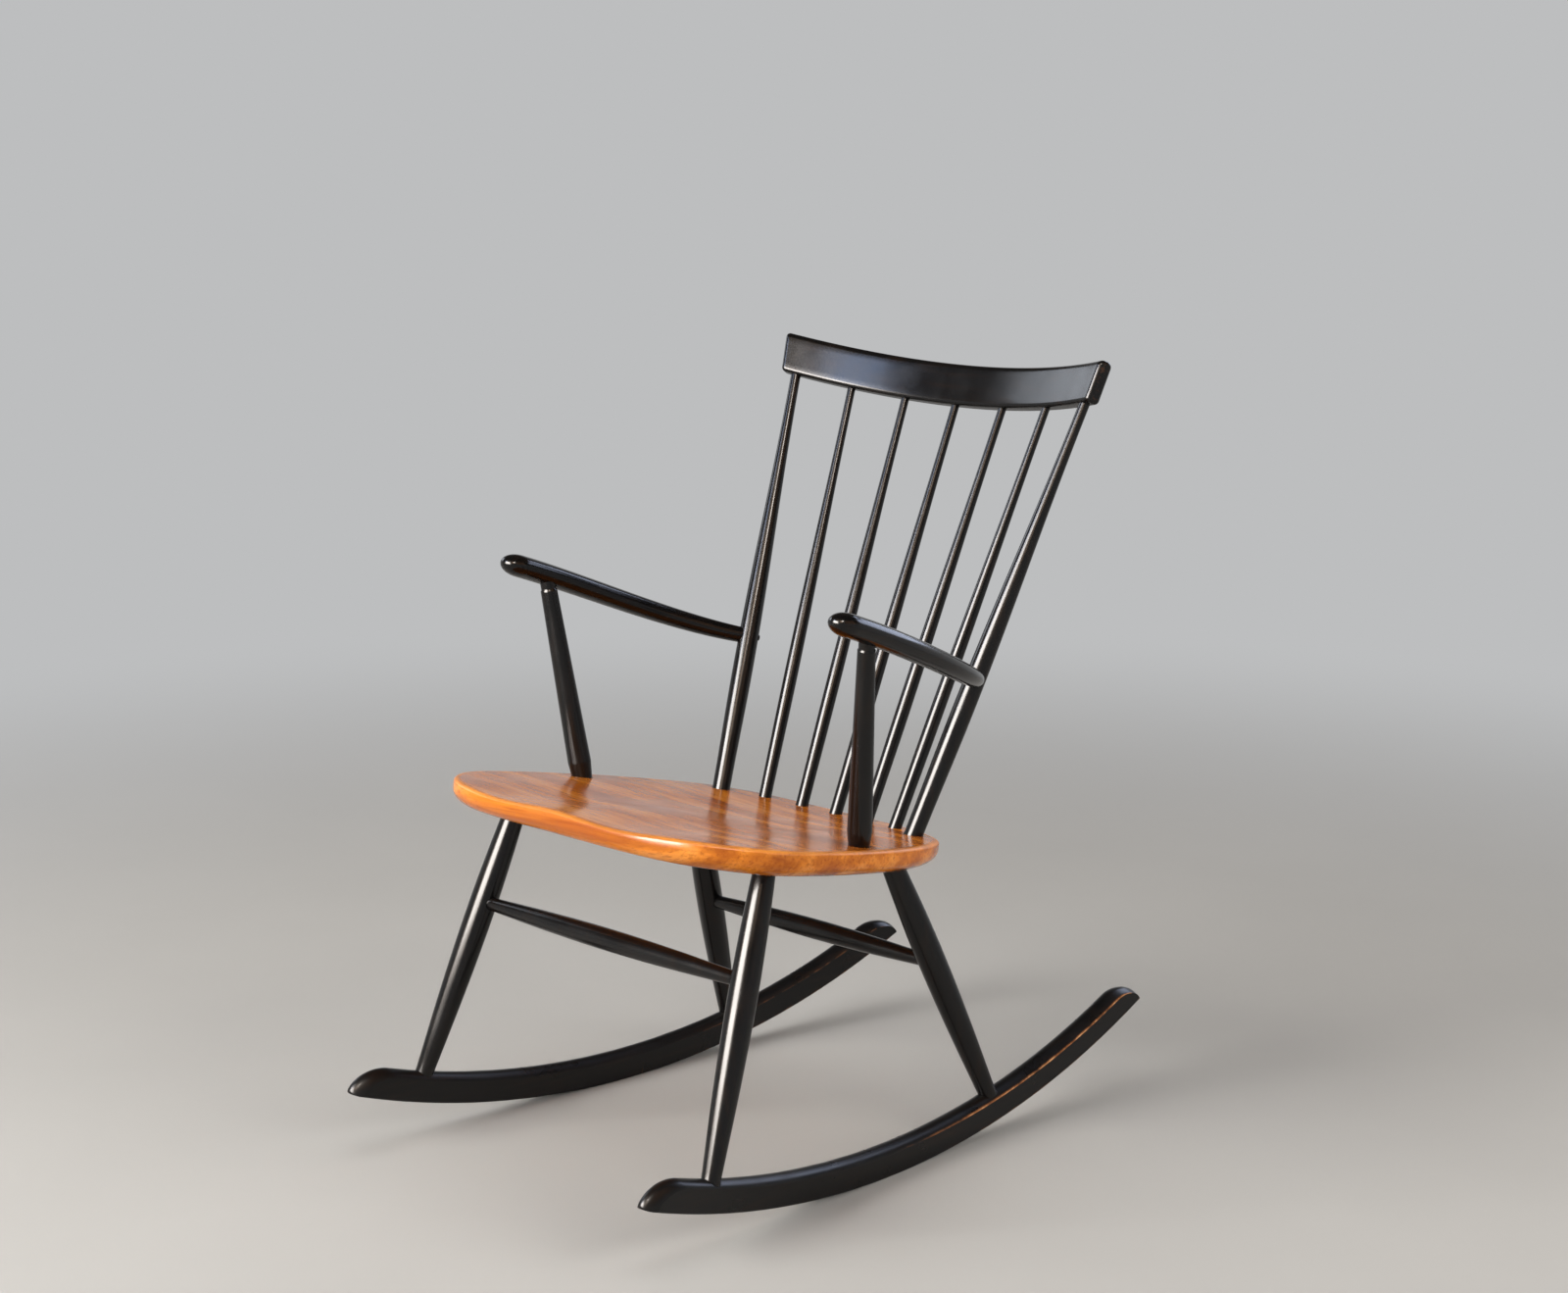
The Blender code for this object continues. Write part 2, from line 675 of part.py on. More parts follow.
def add_arm(name, side, material, parent):
    """An oval arm with a round nose, coped over its back post."""
    tip, bend, _, rear = arm_line(side)
    nose_share = ARM_NOSE_LENGTH / (3 * (bend - tip).length)
    shares = []
    for i in range(ARM_NOSE_RINGS):
        a = pi / 2 * (1 - i / ARM_NOSE_RINGS)
        shares.append((nose_share * (1 - sin(a)), max(cos(a), ARM_NOSE_FLAT)))
    shares += [(nose_share + (1 - nose_share) * i / ARM_RINGS, 1) for i in range(ARM_RINGS + 1)]
    angles = [2 * pi * i / ARM_SIDES for i in range(ARM_SIDES)]
    rings = []
    for share, size in shares:
        point, _, across, up = arm_frame(side, share)
        width, thickness = arm_sizes(share)
        ring = [across * (width / 2 * cos(a)) + up * (thickness / 2 * sin(a)) for a in angles]
        rings.append([point + offset * size for offset in ring])
    arm = add_object(name, loft(name, rings), material, parent)
    member = post_member(side)
    cope = 2 * (member.radius_at(rear) + CLEARANCE)
    bore(arm, rear, member.axis(), [(cope, ARM_FRONT_WIDTH)], ARM_FRONT_WIDTH)
    return arm


def arm_post_member(side):
    """An arm post, from the seat to its shoulder under the arm, and its reach to the arm's middle."""
    point, _, across, up = arm_frame(side, ARM_POST_SHARE)
    inward = across * (-1 if across.x * side > 0 else 1)
    target = point + inward * ARM_POST_INSET
    foot = seat_point(side * ARM_POST_FOOT_X, ARM_POST_FOOT_Y)
    axis = (target - foot).normalized()
    under = arm_sizes(ARM_POST_SHARE)[1] / 2 / axis.dot(up)
    return Member(foot, target - axis * (under + ARM_POST_NECK), ARM_POST), under


def add_arm_post(name, side, seat, arm, material, parent):
    """A turned arm support, plain at the seat and shouldered down to a neck at the arm."""
    member, under = arm_post_member(side)
    foot_steps = [(ARM_POST_FOOT_DIAMETER, ARM_POST_SOCKET)]
    head_steps = [(ARM_POST_NECK_DIAMETER, ARM_POST_NECK + under)]
    turned(name, member, foot_steps, head_steps, POST_SIDES, material, parent)
    axis = member.axis()
    bore(seat, member.foot, -axis, eased(foot_steps), SEAT_THICKNESS)
    bore(arm, member.head, axis, eased(head_steps), ARM_POST_NECK)


def add_arm_screw(name, side, post, arm, material, parent):
    """A dome-headed screw through the back post into the arm's rear end."""
    rear = arm_line(side)[-1]
    inward = -arm_frame(side, 1)[1]
    radius = post_member(side).radius_at(rear)
    face = rear - inward * (radius - SCREW_SPOT_FACE)
    shank = 2 * radius - SCREW_SPOT_FACE + SCREW_BITE
    head = SCREW_HEAD_DIAMETER / 2
    dome = [pi / 2 * i / DOME_STEPS for i in range(DOME_STEPS)]
    points = [(0, shank), (SCREW_SHANK_DIAMETER / 2, shank), (SCREW_SHANK_DIAMETER / 2, CLEARANCE)]
    points += [(head * cos(a), CLEARANCE - SCREW_HEAD_HEIGHT * sin(a)) for a in dome]
    points.append((0, CLEARANCE - SCREW_HEAD_HEIGHT))
    screw = add_object(name, profile_mesh(name, points), material, parent)
    revolve(screw, SCREW_SIDES)
    stand_along(screw, face - inward * 2 * CLEARANCE, inward)
    shank_hole = SCREW_SHANK_DIAMETER + 2 * CLEARANCE
    spot_face = (SCREW_HEAD_DIAMETER + 2 * CLEARANCE, 0)
    bore(post, face, inward, [spot_face, (shank_hole, 3 * radius)], SCREW_HEAD_DIAMETER, SCREW_SIDES)
    bore(arm, face, inward, [(shank_hole, shank + CLEARANCE)], SCREW_HEAD_DIAMETER, SCREW_SIDES)


def build_chair():
    clear_scene()
    lacquer = finish("black_lacquer", (0.010, 0.009, 0.008), 0.25)
    teak = finish("oiled_teak", (0.36, 0.13, 0.035), 0.35)
    steel = finish("blackened_steel", (0.03, 0.03, 0.03), 0.4, 1.0)
    chair = bpy.data.objects.new("rocking_chair", None)
    bpy.context.scene.collection.objects.link(chair)

    seat = add_seat(teak, chair)
    crest = add_crest_rail(lacquer, chair)
    rockers = {name: add_rocker(f"{name}_rocker", side, lacquer, chair) for name, side in SIDES.items()}

    for end, height, diameter in (
        ("front", FRONT_STRETCHER_HEIGHT, FRONT_STRETCHER_DIAMETER),
        ("rear", REAR_STRETCHER_HEIGHT, REAR_STRETCHER_DIAMETER),
    ):
        legs = {}
        for name, side in SIDES.items():
            legs[name] = add_leg(f"{end}_{name}_leg", side, end, seat, rockers[name], lacquer, chair)
        add_stretcher(f"{end}_stretcher", end, height, diameter, legs, lacquer, chair)

    for i in range(SPINDLE_COUNT):
        member = spindle_member(i - (SPINDLE_COUNT - 1) / 2)
        sockets = (SPINDLE_SEAT_SOCKET, SPINDLE_CREST_SOCKET)
        add_upright(f"back_spindle_{i + 1}", member, *sockets, SPINDLE_SIDES, seat, crest, lacquer, chair)

    for name, side in SIDES.items():
        sockets = (POST_SEAT_SOCKET, POST_CREST_SOCKET)
        member = post_member(side)
        post = add_upright(
            f"{name}_back_post", member, *sockets, POST_SIDES, seat, crest, lacquer, chair
        )
        arm = add_arm(f"{name}_arm", side, lacquer, chair)
        add_arm_post(f"{name}_arm_post", side, seat, arm, lacquer, chair)
        add_arm_screw(f"{name}_arm_screw", side, post, arm, steel, chair)


build_chair()
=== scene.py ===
"""Finished looks of a spindle-back rocking chair: a black-lacquered turned frame and an oiled teak seat.

Metres, +Z up. The sitter faces -Y and +X is the sitter's left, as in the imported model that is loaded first.
"""

from math import asin, atan2, cos, exp, pi, radians, sin, sqrt, tan
from typing import NamedTuple

import bmesh
import bpy
from bpy.props import FloatProperty, FloatVectorProperty, PointerProperty
from bpy.types import Operator, Panel, PropertyGroup
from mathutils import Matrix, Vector
from mathutils.geometry import interpolate_bezier


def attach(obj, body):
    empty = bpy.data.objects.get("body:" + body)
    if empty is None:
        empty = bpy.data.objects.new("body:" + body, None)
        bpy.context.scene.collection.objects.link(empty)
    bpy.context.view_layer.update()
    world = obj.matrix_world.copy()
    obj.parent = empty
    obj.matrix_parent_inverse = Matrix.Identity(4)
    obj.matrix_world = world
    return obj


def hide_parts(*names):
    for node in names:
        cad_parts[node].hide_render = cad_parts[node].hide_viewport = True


bl_info = {
    "name": "Spindle-back rocking chair",
    "version": (1, 0, 0),
    "blender": (4, 5, 0),
    "location": "3D View > Sidebar > Rocking chair",
    "description": "Makes the finished pieces of a rocking chair over its packed solids",
    "category": "Object",
}

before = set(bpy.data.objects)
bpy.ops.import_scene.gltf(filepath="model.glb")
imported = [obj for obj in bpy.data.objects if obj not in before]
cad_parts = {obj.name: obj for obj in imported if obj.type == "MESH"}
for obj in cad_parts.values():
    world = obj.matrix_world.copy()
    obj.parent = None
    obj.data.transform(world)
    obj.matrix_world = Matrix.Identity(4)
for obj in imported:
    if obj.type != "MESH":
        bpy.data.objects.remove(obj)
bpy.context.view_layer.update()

# Fits and edges
CLEARANCE = 0.0003
SMALLEST = 0.0003
SHARP_ANGLE = radians(38)

# Rockers
TIP_RADIUS = 0.0035
NOSE_SHARPNESS = 1.15
# How many times the crown's drop each nose draws back at the rocker's sides
FRONT_NOSE_ROLL = 1.9
REAR_NOSE_ROLL = 0.4
SOLE_ROUND = 0.002
SOLE_STEPS = 90
TIP_STEPS = 6
NOSE_STEPS = 22
CROWN_PLACES = (1, 0.985, 0.955, 0.91, 0.84, 0.74, 0.6, 0.42, 0.22, 0)
ARRIS_BANDS = (0.0006, 0.0016)
# Wear of the arrises: its width, its share below the arris, its start along the rocker and its fade
ARRIS_WEAR = 0.0014
ARRIS_SIDE_WEAR = 0.5
WEAR_START = -0.08
WEAR_FADE = 0.30
FAINT_WEAR = 0.3

# Seat's outline: corner knots with their turns, and the pull before and after each knot
FRONT_CORNER = (0.222, -0.291)
FRONT_CORNER_TURN = radians(43.8)
WIDEST_AT = -0.190
REAR_CORNER = (0.203, 0.075)
REAR_CORNER_TURN = radians(126.9)
FRONT_PULL = 0.10
FRONT_CORNER_PULLS = (0.075, 0.040)
WIDEST_PULLS = (0.050, 0.085)
REAR_CORNER_PULLS = (0.085, 0.050)
REAR_PULL = 0.10

# Seat's saddle and edge
SADDLE_CENTRE_Y = 0.005
SADDLE_REACH_X = 0.200
SADDLE_REACH_Y = 0.190
THIGH_X = 0.095
THIGH_SPREAD = 0.070
THIGH_LENGTH = 0.345
THIGH_FADE = 0.230
EDGE_BAND = 0.0105
RIM_INSET = 0.008
RIM_DROP = 0.004
SEAT_CURVE_STEPS = 26
EDGE_STEPS = 12
RIM_STEPS = 10
SADDLE_RINGS = 40

# Sockets and tenons
LEG_HOUSING = 0.0065
LEG_TENON_LENGTH = 0.016
LEG_SOCKET = 0.013
STRETCHER_SOCKET = 0.012
POST_SEAT_SOCKET = 0.020
POST_CREST_SOCKET = 0.022
SPINDLE_SOCKET = 0.018
ARM_POST_SOCKET = 0.015
BORE_SIDES = 64
STRETCHER_BELLY_SHARE = 0.5

# Crest rail
CREST_TOP_ROUND = 0.0075
CREST_BOTTOM_ROUND = 0.005
CREST_END_ROUND = 0.005
CREST_END_WEAR = 0.2
CREST_STATIONS = 80
CREST_CORNER_STEPS = 7
CREST_FACE_STEPS = 6
CREST_END_STEPS = 12

# Arms
ARM_TAPER_POWER = 2.3
ARM_NOSE_LENGTH = 0.024
ARM_TIP_SHARE = 0.02
ARM_RINGS = 90
ARM_NOSE_RINGS = 16
ARM_SIDES = 56

# Arm screws
SCREW_HEAD_HEIGHT = 0.0022
SCREW_SPOT_FACE = 0.0008
SCREW_BITE = 0.024
SCREW_SLOT_WIDTH = 0.0012
SCREW_SLOT_DEPTH = 0.0011
DOME_STEPS = 10
SCREW_SIDES = 40

# Turned members
TURNED_SIDES = 48
RING_SPACING = 0.004
FINE_RING_SPACING = 0.0014
BARREL, DRAWN_OUT, STRAIGHT = range(3)

# Camera of the photograph
CAMERA_AZIMUTH = radians(45.24)
CAMERA_ELEVATION = radians(10.95)
CAMERA_PLACE = (2.437, -2.3911, 1.2327)
CAMERA_LENS = 68.625
SENSOR_WIDTH = 36.0

LEFT = 1
RIGHT = -1
SIDES = {"left": LEFT, "right": RIGHT}
ENDS = ("front", "rear")
UP = Vector((0, 0, 1))

# Spindles by their place in the row, counted from the middle one
SPINDLE_COUNT = 5
SPINDLES = {f"back_spindle_{i + 1}": i - SPINDLE_COUNT // 2 for i in range(SPINDLE_COUNT)}


def linear(hex_colour):
    """Linear RGB of an sRGB hex colour such as #c46a2b."""
    channels = [int(hex_colour[i : i + 2], 16) / 255 for i in (1, 3, 5)]
    return tuple(c / 12.92 if c <= 0.04045 else ((c + 0.055) / 1.055) ** 2.4 for c in channels)


def length(name, description, default):
    return FloatProperty(name=name, description=description, default=default, unit="LENGTH", precision=4)


def angle(name, description, degrees):
    return FloatProperty(name=name, description=description, default=radians(degrees), subtype="ANGLE")


def share(name, description, default):
    return FloatProperty(
        name=name, description=description, default=default, min=0, max=1, subtype="FACTOR"
    )


def place(name, description, default):
    return FloatVectorProperty(
        name=name,
        description=description,
        default=default,
        size=len(default),
        subtype="XYZ" if len(default) == 3 else "COORDINATES",
        unit="LENGTH",
        precision=4,
    )


def colour(name, description, hex_colour):
    return FloatVectorProperty(
        name=name, description=description, default=linear(hex_colour), min=0, max=1, subtype="COLOR"
    )


class RockerSizes(PropertyGroup):
    radius: length("Radius", "Radius of the sole", 1.160)
    height: length("Height", "From the sole to the top of the crown", 0.0356)
    thickness: length("Thickness", "Across the flat sides", 0.025)
    crown: length("Crown", "Rise of the rounded top above the flat sides", 0.0085)
    front_reach: length("Front reach", "From the floor contact to the front tip", 0.4015)
    rear_reach: length("Rear reach", "From the floor contact to the rear tip", 0.468)
    half_spread: length("Half spread", "From the middle of the chair to a rocker at its contact", 0.230)
    toe_in: angle("Toe-in", "Turn of the rockers towards each other at the back", 2.95)
    nose_length: length("Nose length", "Length of the rounded ends", 0.047)


class SeatSizes(PropertyGroup):
    height: length("Height", "Height of the seat's plane over the origin", 0.3762)
    slope: angle("Slope", "Fall of the seat towards the back", 10.4)
    thickness: length("Thickness", "Thickness of the plank", 0.0305)
    front: length("Front", "From the origin to the front edge", 0.336)
    rear: length("Rear", "From the origin to the rear edge", 0.137)
    half_width: length("Half width", "Half of the widest part", 0.2695)
    undercut: length("Undercut", "How far the lower edge is drawn in", 0.028)
    saddle_depth: length("Saddle depth", "Depth of the broad dish", 0.007)
    thigh_depth: length("Thigh depth", "Depth of the trough for each thigh", 0.0045)


class LegSizes(PropertyGroup):
    foot: length("Foot", "Diameter at the rocker", 0.0215)
    belly: length("Belly", "Largest diameter", 0.0328)
    belly_share: share("Belly place", "Share of the length from the foot to the belly", 0.60)
    head: length("Head", "Diameter at the seat", 0.0255)
    tenon: length("Tenon", "Diameter of the tenon in the rocker", 0.014)
    front_foot_y: length("Front foot", "Where the front legs stand on the rockers", -0.3265)
    front_head: place("Front head", "Where the front legs enter the seat", (0.2075, -0.2042))
    rear_foot_y: length("Rear foot", "Where the rear legs stand on the rockers", 0.1425)
    rear_head: place("Rear head", "Where the rear legs enter the seat", (0.1635, 0.041))


class StretcherSizes(PropertyGroup):
    end: length("End", "Diameter at the legs", 0.0155)
    front_belly: length("Front belly", "Largest diameter of the front stretcher", 0.0253)
    rear_belly: length("Rear belly", "Largest diameter of the rear stretcher", 0.0242)
    front_height: length("Front height", "Height of the front stretcher", 0.2708)
    rear_height: length("Rear height", "Height of the rear stretcher", 0.2138)


class BackSizes(PropertyGroup):
    post_at: place("Post foot at", "Where a post enters the seat", (0.1612, 0.0765))
    post_top_x: length("Post top", "From the middle to a post at the crest rail", 0.2358)
    post_foot: length("Post foot", "Diameter at the seat", 0.022)
    post_belly: length("Post belly", "Largest diameter", 0.0252)
    post_belly_share: share("Post belly place", "Share of the length from the foot to the belly", 0.28)
    post_head: length("Post head", "Diameter at the crest rail", 0.0125)
    spindle_foot_pitch: length("Foot pitch", "Spacing of the spindles at the seat", 0.0545)
    spindle_top_pitch: length("Top pitch", "Spacing of the spindles at the crest rail", 0.0795)
    row_y: length("Row", "Where the middle spindle enters the seat", 0.1145)
    row_radius: length("Row radius", "Radius of the row of spindles", 0.46)
    spindle_foot: length("Spindle foot", "Diameter at the seat", 0.0155)
    spindle_belly: length("Spindle belly", "Largest diameter", 0.0168)
    spindle_belly_share: share("Spindle belly place", "Share of the length from the foot", 0.26)
    spindle_head: length("Spindle head", "Diameter at the crest rail", 0.0098)


class CrestSizes(PropertyGroup):
    y: length("Depth", "Where the middle of the lower edge lies", 0.3202)
    rise: length("Rise", "Height of the lower edge over the seat's", 0.4514)
    bend_radius: length("Bend radius", "Radius of the bend", 0.63)
    half_length: length("Half length", "Half of the lower edge", 0.2518)
    end_flare: angle("End flare", "Slant of the ends", 8.5)
    thickness: length("Thickness", "From front to back", 0.0185)
    depth: length("Height", "Height at mid-length", 0.052)
    end_depth: length("End height", "Height at the ends", 0.0507)
    end_lift: length("End lift", "Rise of the lower edge at the ends", 0.0064)


class ArmSizes(PropertyGroup):
    tip: place("Tip", "Nose of the arm, with its height over the seat's", (0.2714, -0.172, 0.2839))
    front_bend: place("Front bend", "First point that bends the arm", (0.2725, -0.066, 0.2504))
    rear_bend: place("Rear bend", "Second point that bends the arm", (0.2586, 0.0778, 0.1812))
    rear_rise: length("Rear rise", "Height of the rear end over the seat's", 0.1629)
    width: length("Width", "Width at the nose", 0.0371)
    thickness: length("Thickness", "Thickness at the nose", 0.0268)
    rear: length("Rear", "Diameter at the post", 0.019)
    post_at: place("Post foot at", "Where an arm post enters the seat", (0.2319, -0.088))
    post_share: share("Post place", "Share of the arm's line where its post enters", 0.18)
    post_inset: length("Post inset", "How far inside the arm's line the post enters", 0.005)
    post_foot: length("Post foot", "Diameter at the seat", 0.0243)
    post_belly: length("Post belly", "Largest diameter", 0.0282)
    post_belly_share: share("Post belly place", "Share of the length from the foot", 0.08)
    post_head: length("Post head", "Diameter at the shoulder", 0.020)
    neck: length("Neck", "Diameter of the neck that enters the arm", 0.018)
    neck_length: length("Neck length", "Length of neck that shows", 0.004)
    screw_head: length("Screw head", "Diameter of the dome head", 0.008)
    screw_shank: length("Screw shank", "Diameter of the shank", 0.004)


class FinishColours(PropertyGroup):
    lacquer: colour("Lacquer", "Full black lacquer", "#090808")
    thin_lacquer: colour("Thin lacquer", "Lacquer where the brown wood shows through", "#140d09")
    worn_wood: colour("Worn wood", "Wood where the lacquer is rubbed through", "#8f5527")
    bare_wood: colour("Bare wood", "Paler wood on the sharpest edges", "#d8a878")
    teak_line: colour("Teak line", "Dark growth lines", "#8a3d08")
    teak_body: colour("Teak body", "Wood between the lines", "#c8721c")
    teak_light: colour("Teak light", "Palest streaks", "#e89b48")
    steel: colour("Steel", "Blackened screw heads", "#3a3735")
    floor: colour("Floor", "Pale floor", "#b0aeac")
    backdrop: colour("Backdrop", "Pale backdrop that the floor fades to", "#bdbebf")


class ChairSettings(PropertyGroup):
    rocker: PointerProperty(type=RockerSizes)
    seat: PointerProperty(type=SeatSizes)
    leg: PointerProperty(type=LegSizes)
    stretcher: PointerProperty(type=StretcherSizes)
    back: PointerProperty(type=BackSizes)
    crest: PointerProperty(type=CrestSizes)
    arm: PointerProperty(type=ArmSizes)
    finish: PointerProperty(type=FinishColours)


# Nodes and materials


def add_node(tree, kind, settings=None, inputs=None, output=0):
    """Adds a node, sets its settings, links or sets its inputs by identifier, and returns an output."""
    node = tree.nodes.new(kind)
    for name, value in (settings or {}).items():
        setattr(node, name, value)
    sockets = {socket.identifier: socket for socket in node.inputs}
    for name, value in (inputs or {}).items():
        if isinstance(value, bpy.types.NodeSocket):
            tree.links.new(value, sockets[name])
        else:
            sockets[name].default_value = value
    return node.outputs[output] if node.outputs else None


def opaque(rgb):
    return (*rgb, 1.0)


def new_material(name):
    material = bpy.data.materials.new(name)
    material.use_nodes = True
    return material, material.node_tree, material.node_tree.nodes["Principled BSDF"]


class LacquerCoat(NamedTuple):
    """How a lacquered piece was finished.

    Its streaks per metre along each axis, its roughness from clear to dull and its clear coat's weight.
    """

    name: str
    grain: tuple
    gloss: tuple
    coat: float


# Streaks of thin lacquer are about 8 mm wide and 110 mm long, along the piece
TURNED_LACQUER = LacquerCoat("black_lacquer_on_turned_beech", (125, 125, 9), (0.17, 0.25), 0.05)
SAWN_LACQUER = LacquerCoat("black_lacquer_on_sawn_beech", (125, 9, 125), (0.26, 0.38), 0.03)
SHAPED_LACQUER = LacquerCoat("black_lacquer_on_shaped_beech", (125, 9, 125), (0.13, 0.2), 0.05)
RUBBED_LACQUER = LacquerCoat("rubbed_black_lacquer_on_bent_beech", (9, 125, 125), (0.18, 0.26), 0.05)
BARE_WOOD_ROUGHNESS = 0.45

# The grain runs at a small slant to the plank; hands make its rim duller, and its rim is painted paler,
# partly as rubbed wear and partly as a painted highlight
GRAIN_SLANT = 0.05
RIM_WEAR_AND_HIGHLIGHT = 0.35
RIM_ROUGHNESS = 0.42


def black_lacquer(finish, coat):
    """Beech, turned, sawn or bent, under sprayed black lacquer.

    It gives a deep warm black with clear long highlights, and brown wood where edges are rubbed.
    """
    if coat.name in bpy.data.materials:
        return bpy.data.materials[coat.name]
    material, tree, shader = new_material(coat.name)
    rgb = {"data_type": "RGBA"}
    where = add_node(tree, "ShaderNodeTexCoord", output="Object")
    wear = add_node(tree, "ShaderNodeAttribute", {"attribute_name": "wear"}, output="Fac")

    grain = add_node(tree, "ShaderNodeMapping", None, {"Vector": where, "Scale": coat.grain})
    streaks = add_node(tree, "ShaderNodeTexNoise", None, {"Vector": grain, "Scale": 1.0, "Detail": 3.0})
    thin = add_node(tree, "ShaderNodeMapRange", None, {"Value": streaks, "From Min": 0.5, "From Max": 0.75})
    black = add_node(
        tree,
        "ShaderNodeMix",
        rgb,
        {"Factor_Float": thin, "A_Color": opaque(finish.lacquer), "B_Color": opaque(finish.thin_lacquer)},
        output=2,
    )

    # Rubbed patches about 15 mm long break up the wear along an edge
    patches = add_node(
        tree, "ShaderNodeTexNoise", None, {"Vector": where, "Scale": 65.0, "Detail": 4.0, "Roughness": 0.6}
    )
    patchy = add_node(
        tree,
        "ShaderNodeMapRange",
        None,
        {"Value": patches, "From Min": 0.3, "From Max": 0.65, "To Min": 0.25},
    )
    rubbed = add_node(
        tree, "ShaderNodeMath", {"operation": "MULTIPLY"}, {"Value": wear, "Value_001": patchy}
    )
    through = add_node(
        tree, "ShaderNodeMapRange", None, {"Value": rubbed, "From Min": 0.12, "From Max": 0.6}
    )
    bare = add_node(
        tree, "ShaderNodeMapRange", None, {"Value": rubbed, "From Min": 0.5, "From Max": 0.95}
    )
    wood = add_node(
        tree,
        "ShaderNodeMix",
        rgb,
        {"Factor_Float": bare, "A_Color": opaque(finish.worn_wood), "B_Color": opaque(finish.bare_wood)},
        output=2,
    )
    worn = add_node(
        tree, "ShaderNodeMix", rgb, {"Factor_Float": through, "A_Color": black, "B_Color": wood}, output=2
    )

    # Knocks about 1 mm across, one every 80 mm or so
    knocks = add_node(tree, "ShaderNodeTexVoronoi", None, {"Vector": where, "Scale": 12.0})
    knocked = add_node(
        tree,
        "ShaderNodeMapRange",
        None,
        {"Value": knocks, "From Min": 0.006, "From Max": 0.015, "To Min": 0.4, "To Max": 0.0},
    )
    coloured = add_node(
        tree,
        "ShaderNodeMix",
        rgb,
        {"Factor_Float": knocked, "A_Color": worn, "B_Color": opaque(finish.bare_wood)},
        output=2,
    )

    # Handling dulls the gloss in patches about 40 mm wide, and more where the wood shows
    handled = add_node(tree, "ShaderNodeTexNoise", None, {"Vector": where, "Scale": 25.0, "Detail": 2.0})
    clear, dull = coat.gloss
    gloss = add_node(
        tree,
        "ShaderNodeMapRange",
        None,
        {"Value": handled, "From Min": 0.3, "From Max": 0.7, "To Min": clear, "To Max": dull},
    )
    roughness = add_node(
        tree,
        "ShaderNodeMix",
        {"data_type": "FLOAT"},
        {"Factor_Float": through, "A_Float": gloss, "B_Float": BARE_WOOD_ROUGHNESS},
    )

    # Orange peel of sprayed lacquer, about 3 mm from bump to bump
    peel = add_node(tree, "ShaderNodeTexNoise", None, {"Vector": where, "Scale": 330.0, "Detail": 1.0})
    bump = add_node(tree, "ShaderNodeBump", None, {"Strength": 0.05, "Distance": 0.0001, "Height": peel})

    tree.links.new(coloured, shader.inputs["Base Color"])
    tree.links.new(roughness, shader.inputs["Roughness"])
    tree.links.new(bump, shader.inputs["Normal"])
    shader.inputs["IOR"].default_value = 1.35
    shader.inputs["Coat Weight"].default_value = coat.coat
    shader.inputs["Coat Roughness"].default_value = 0.07
    return material


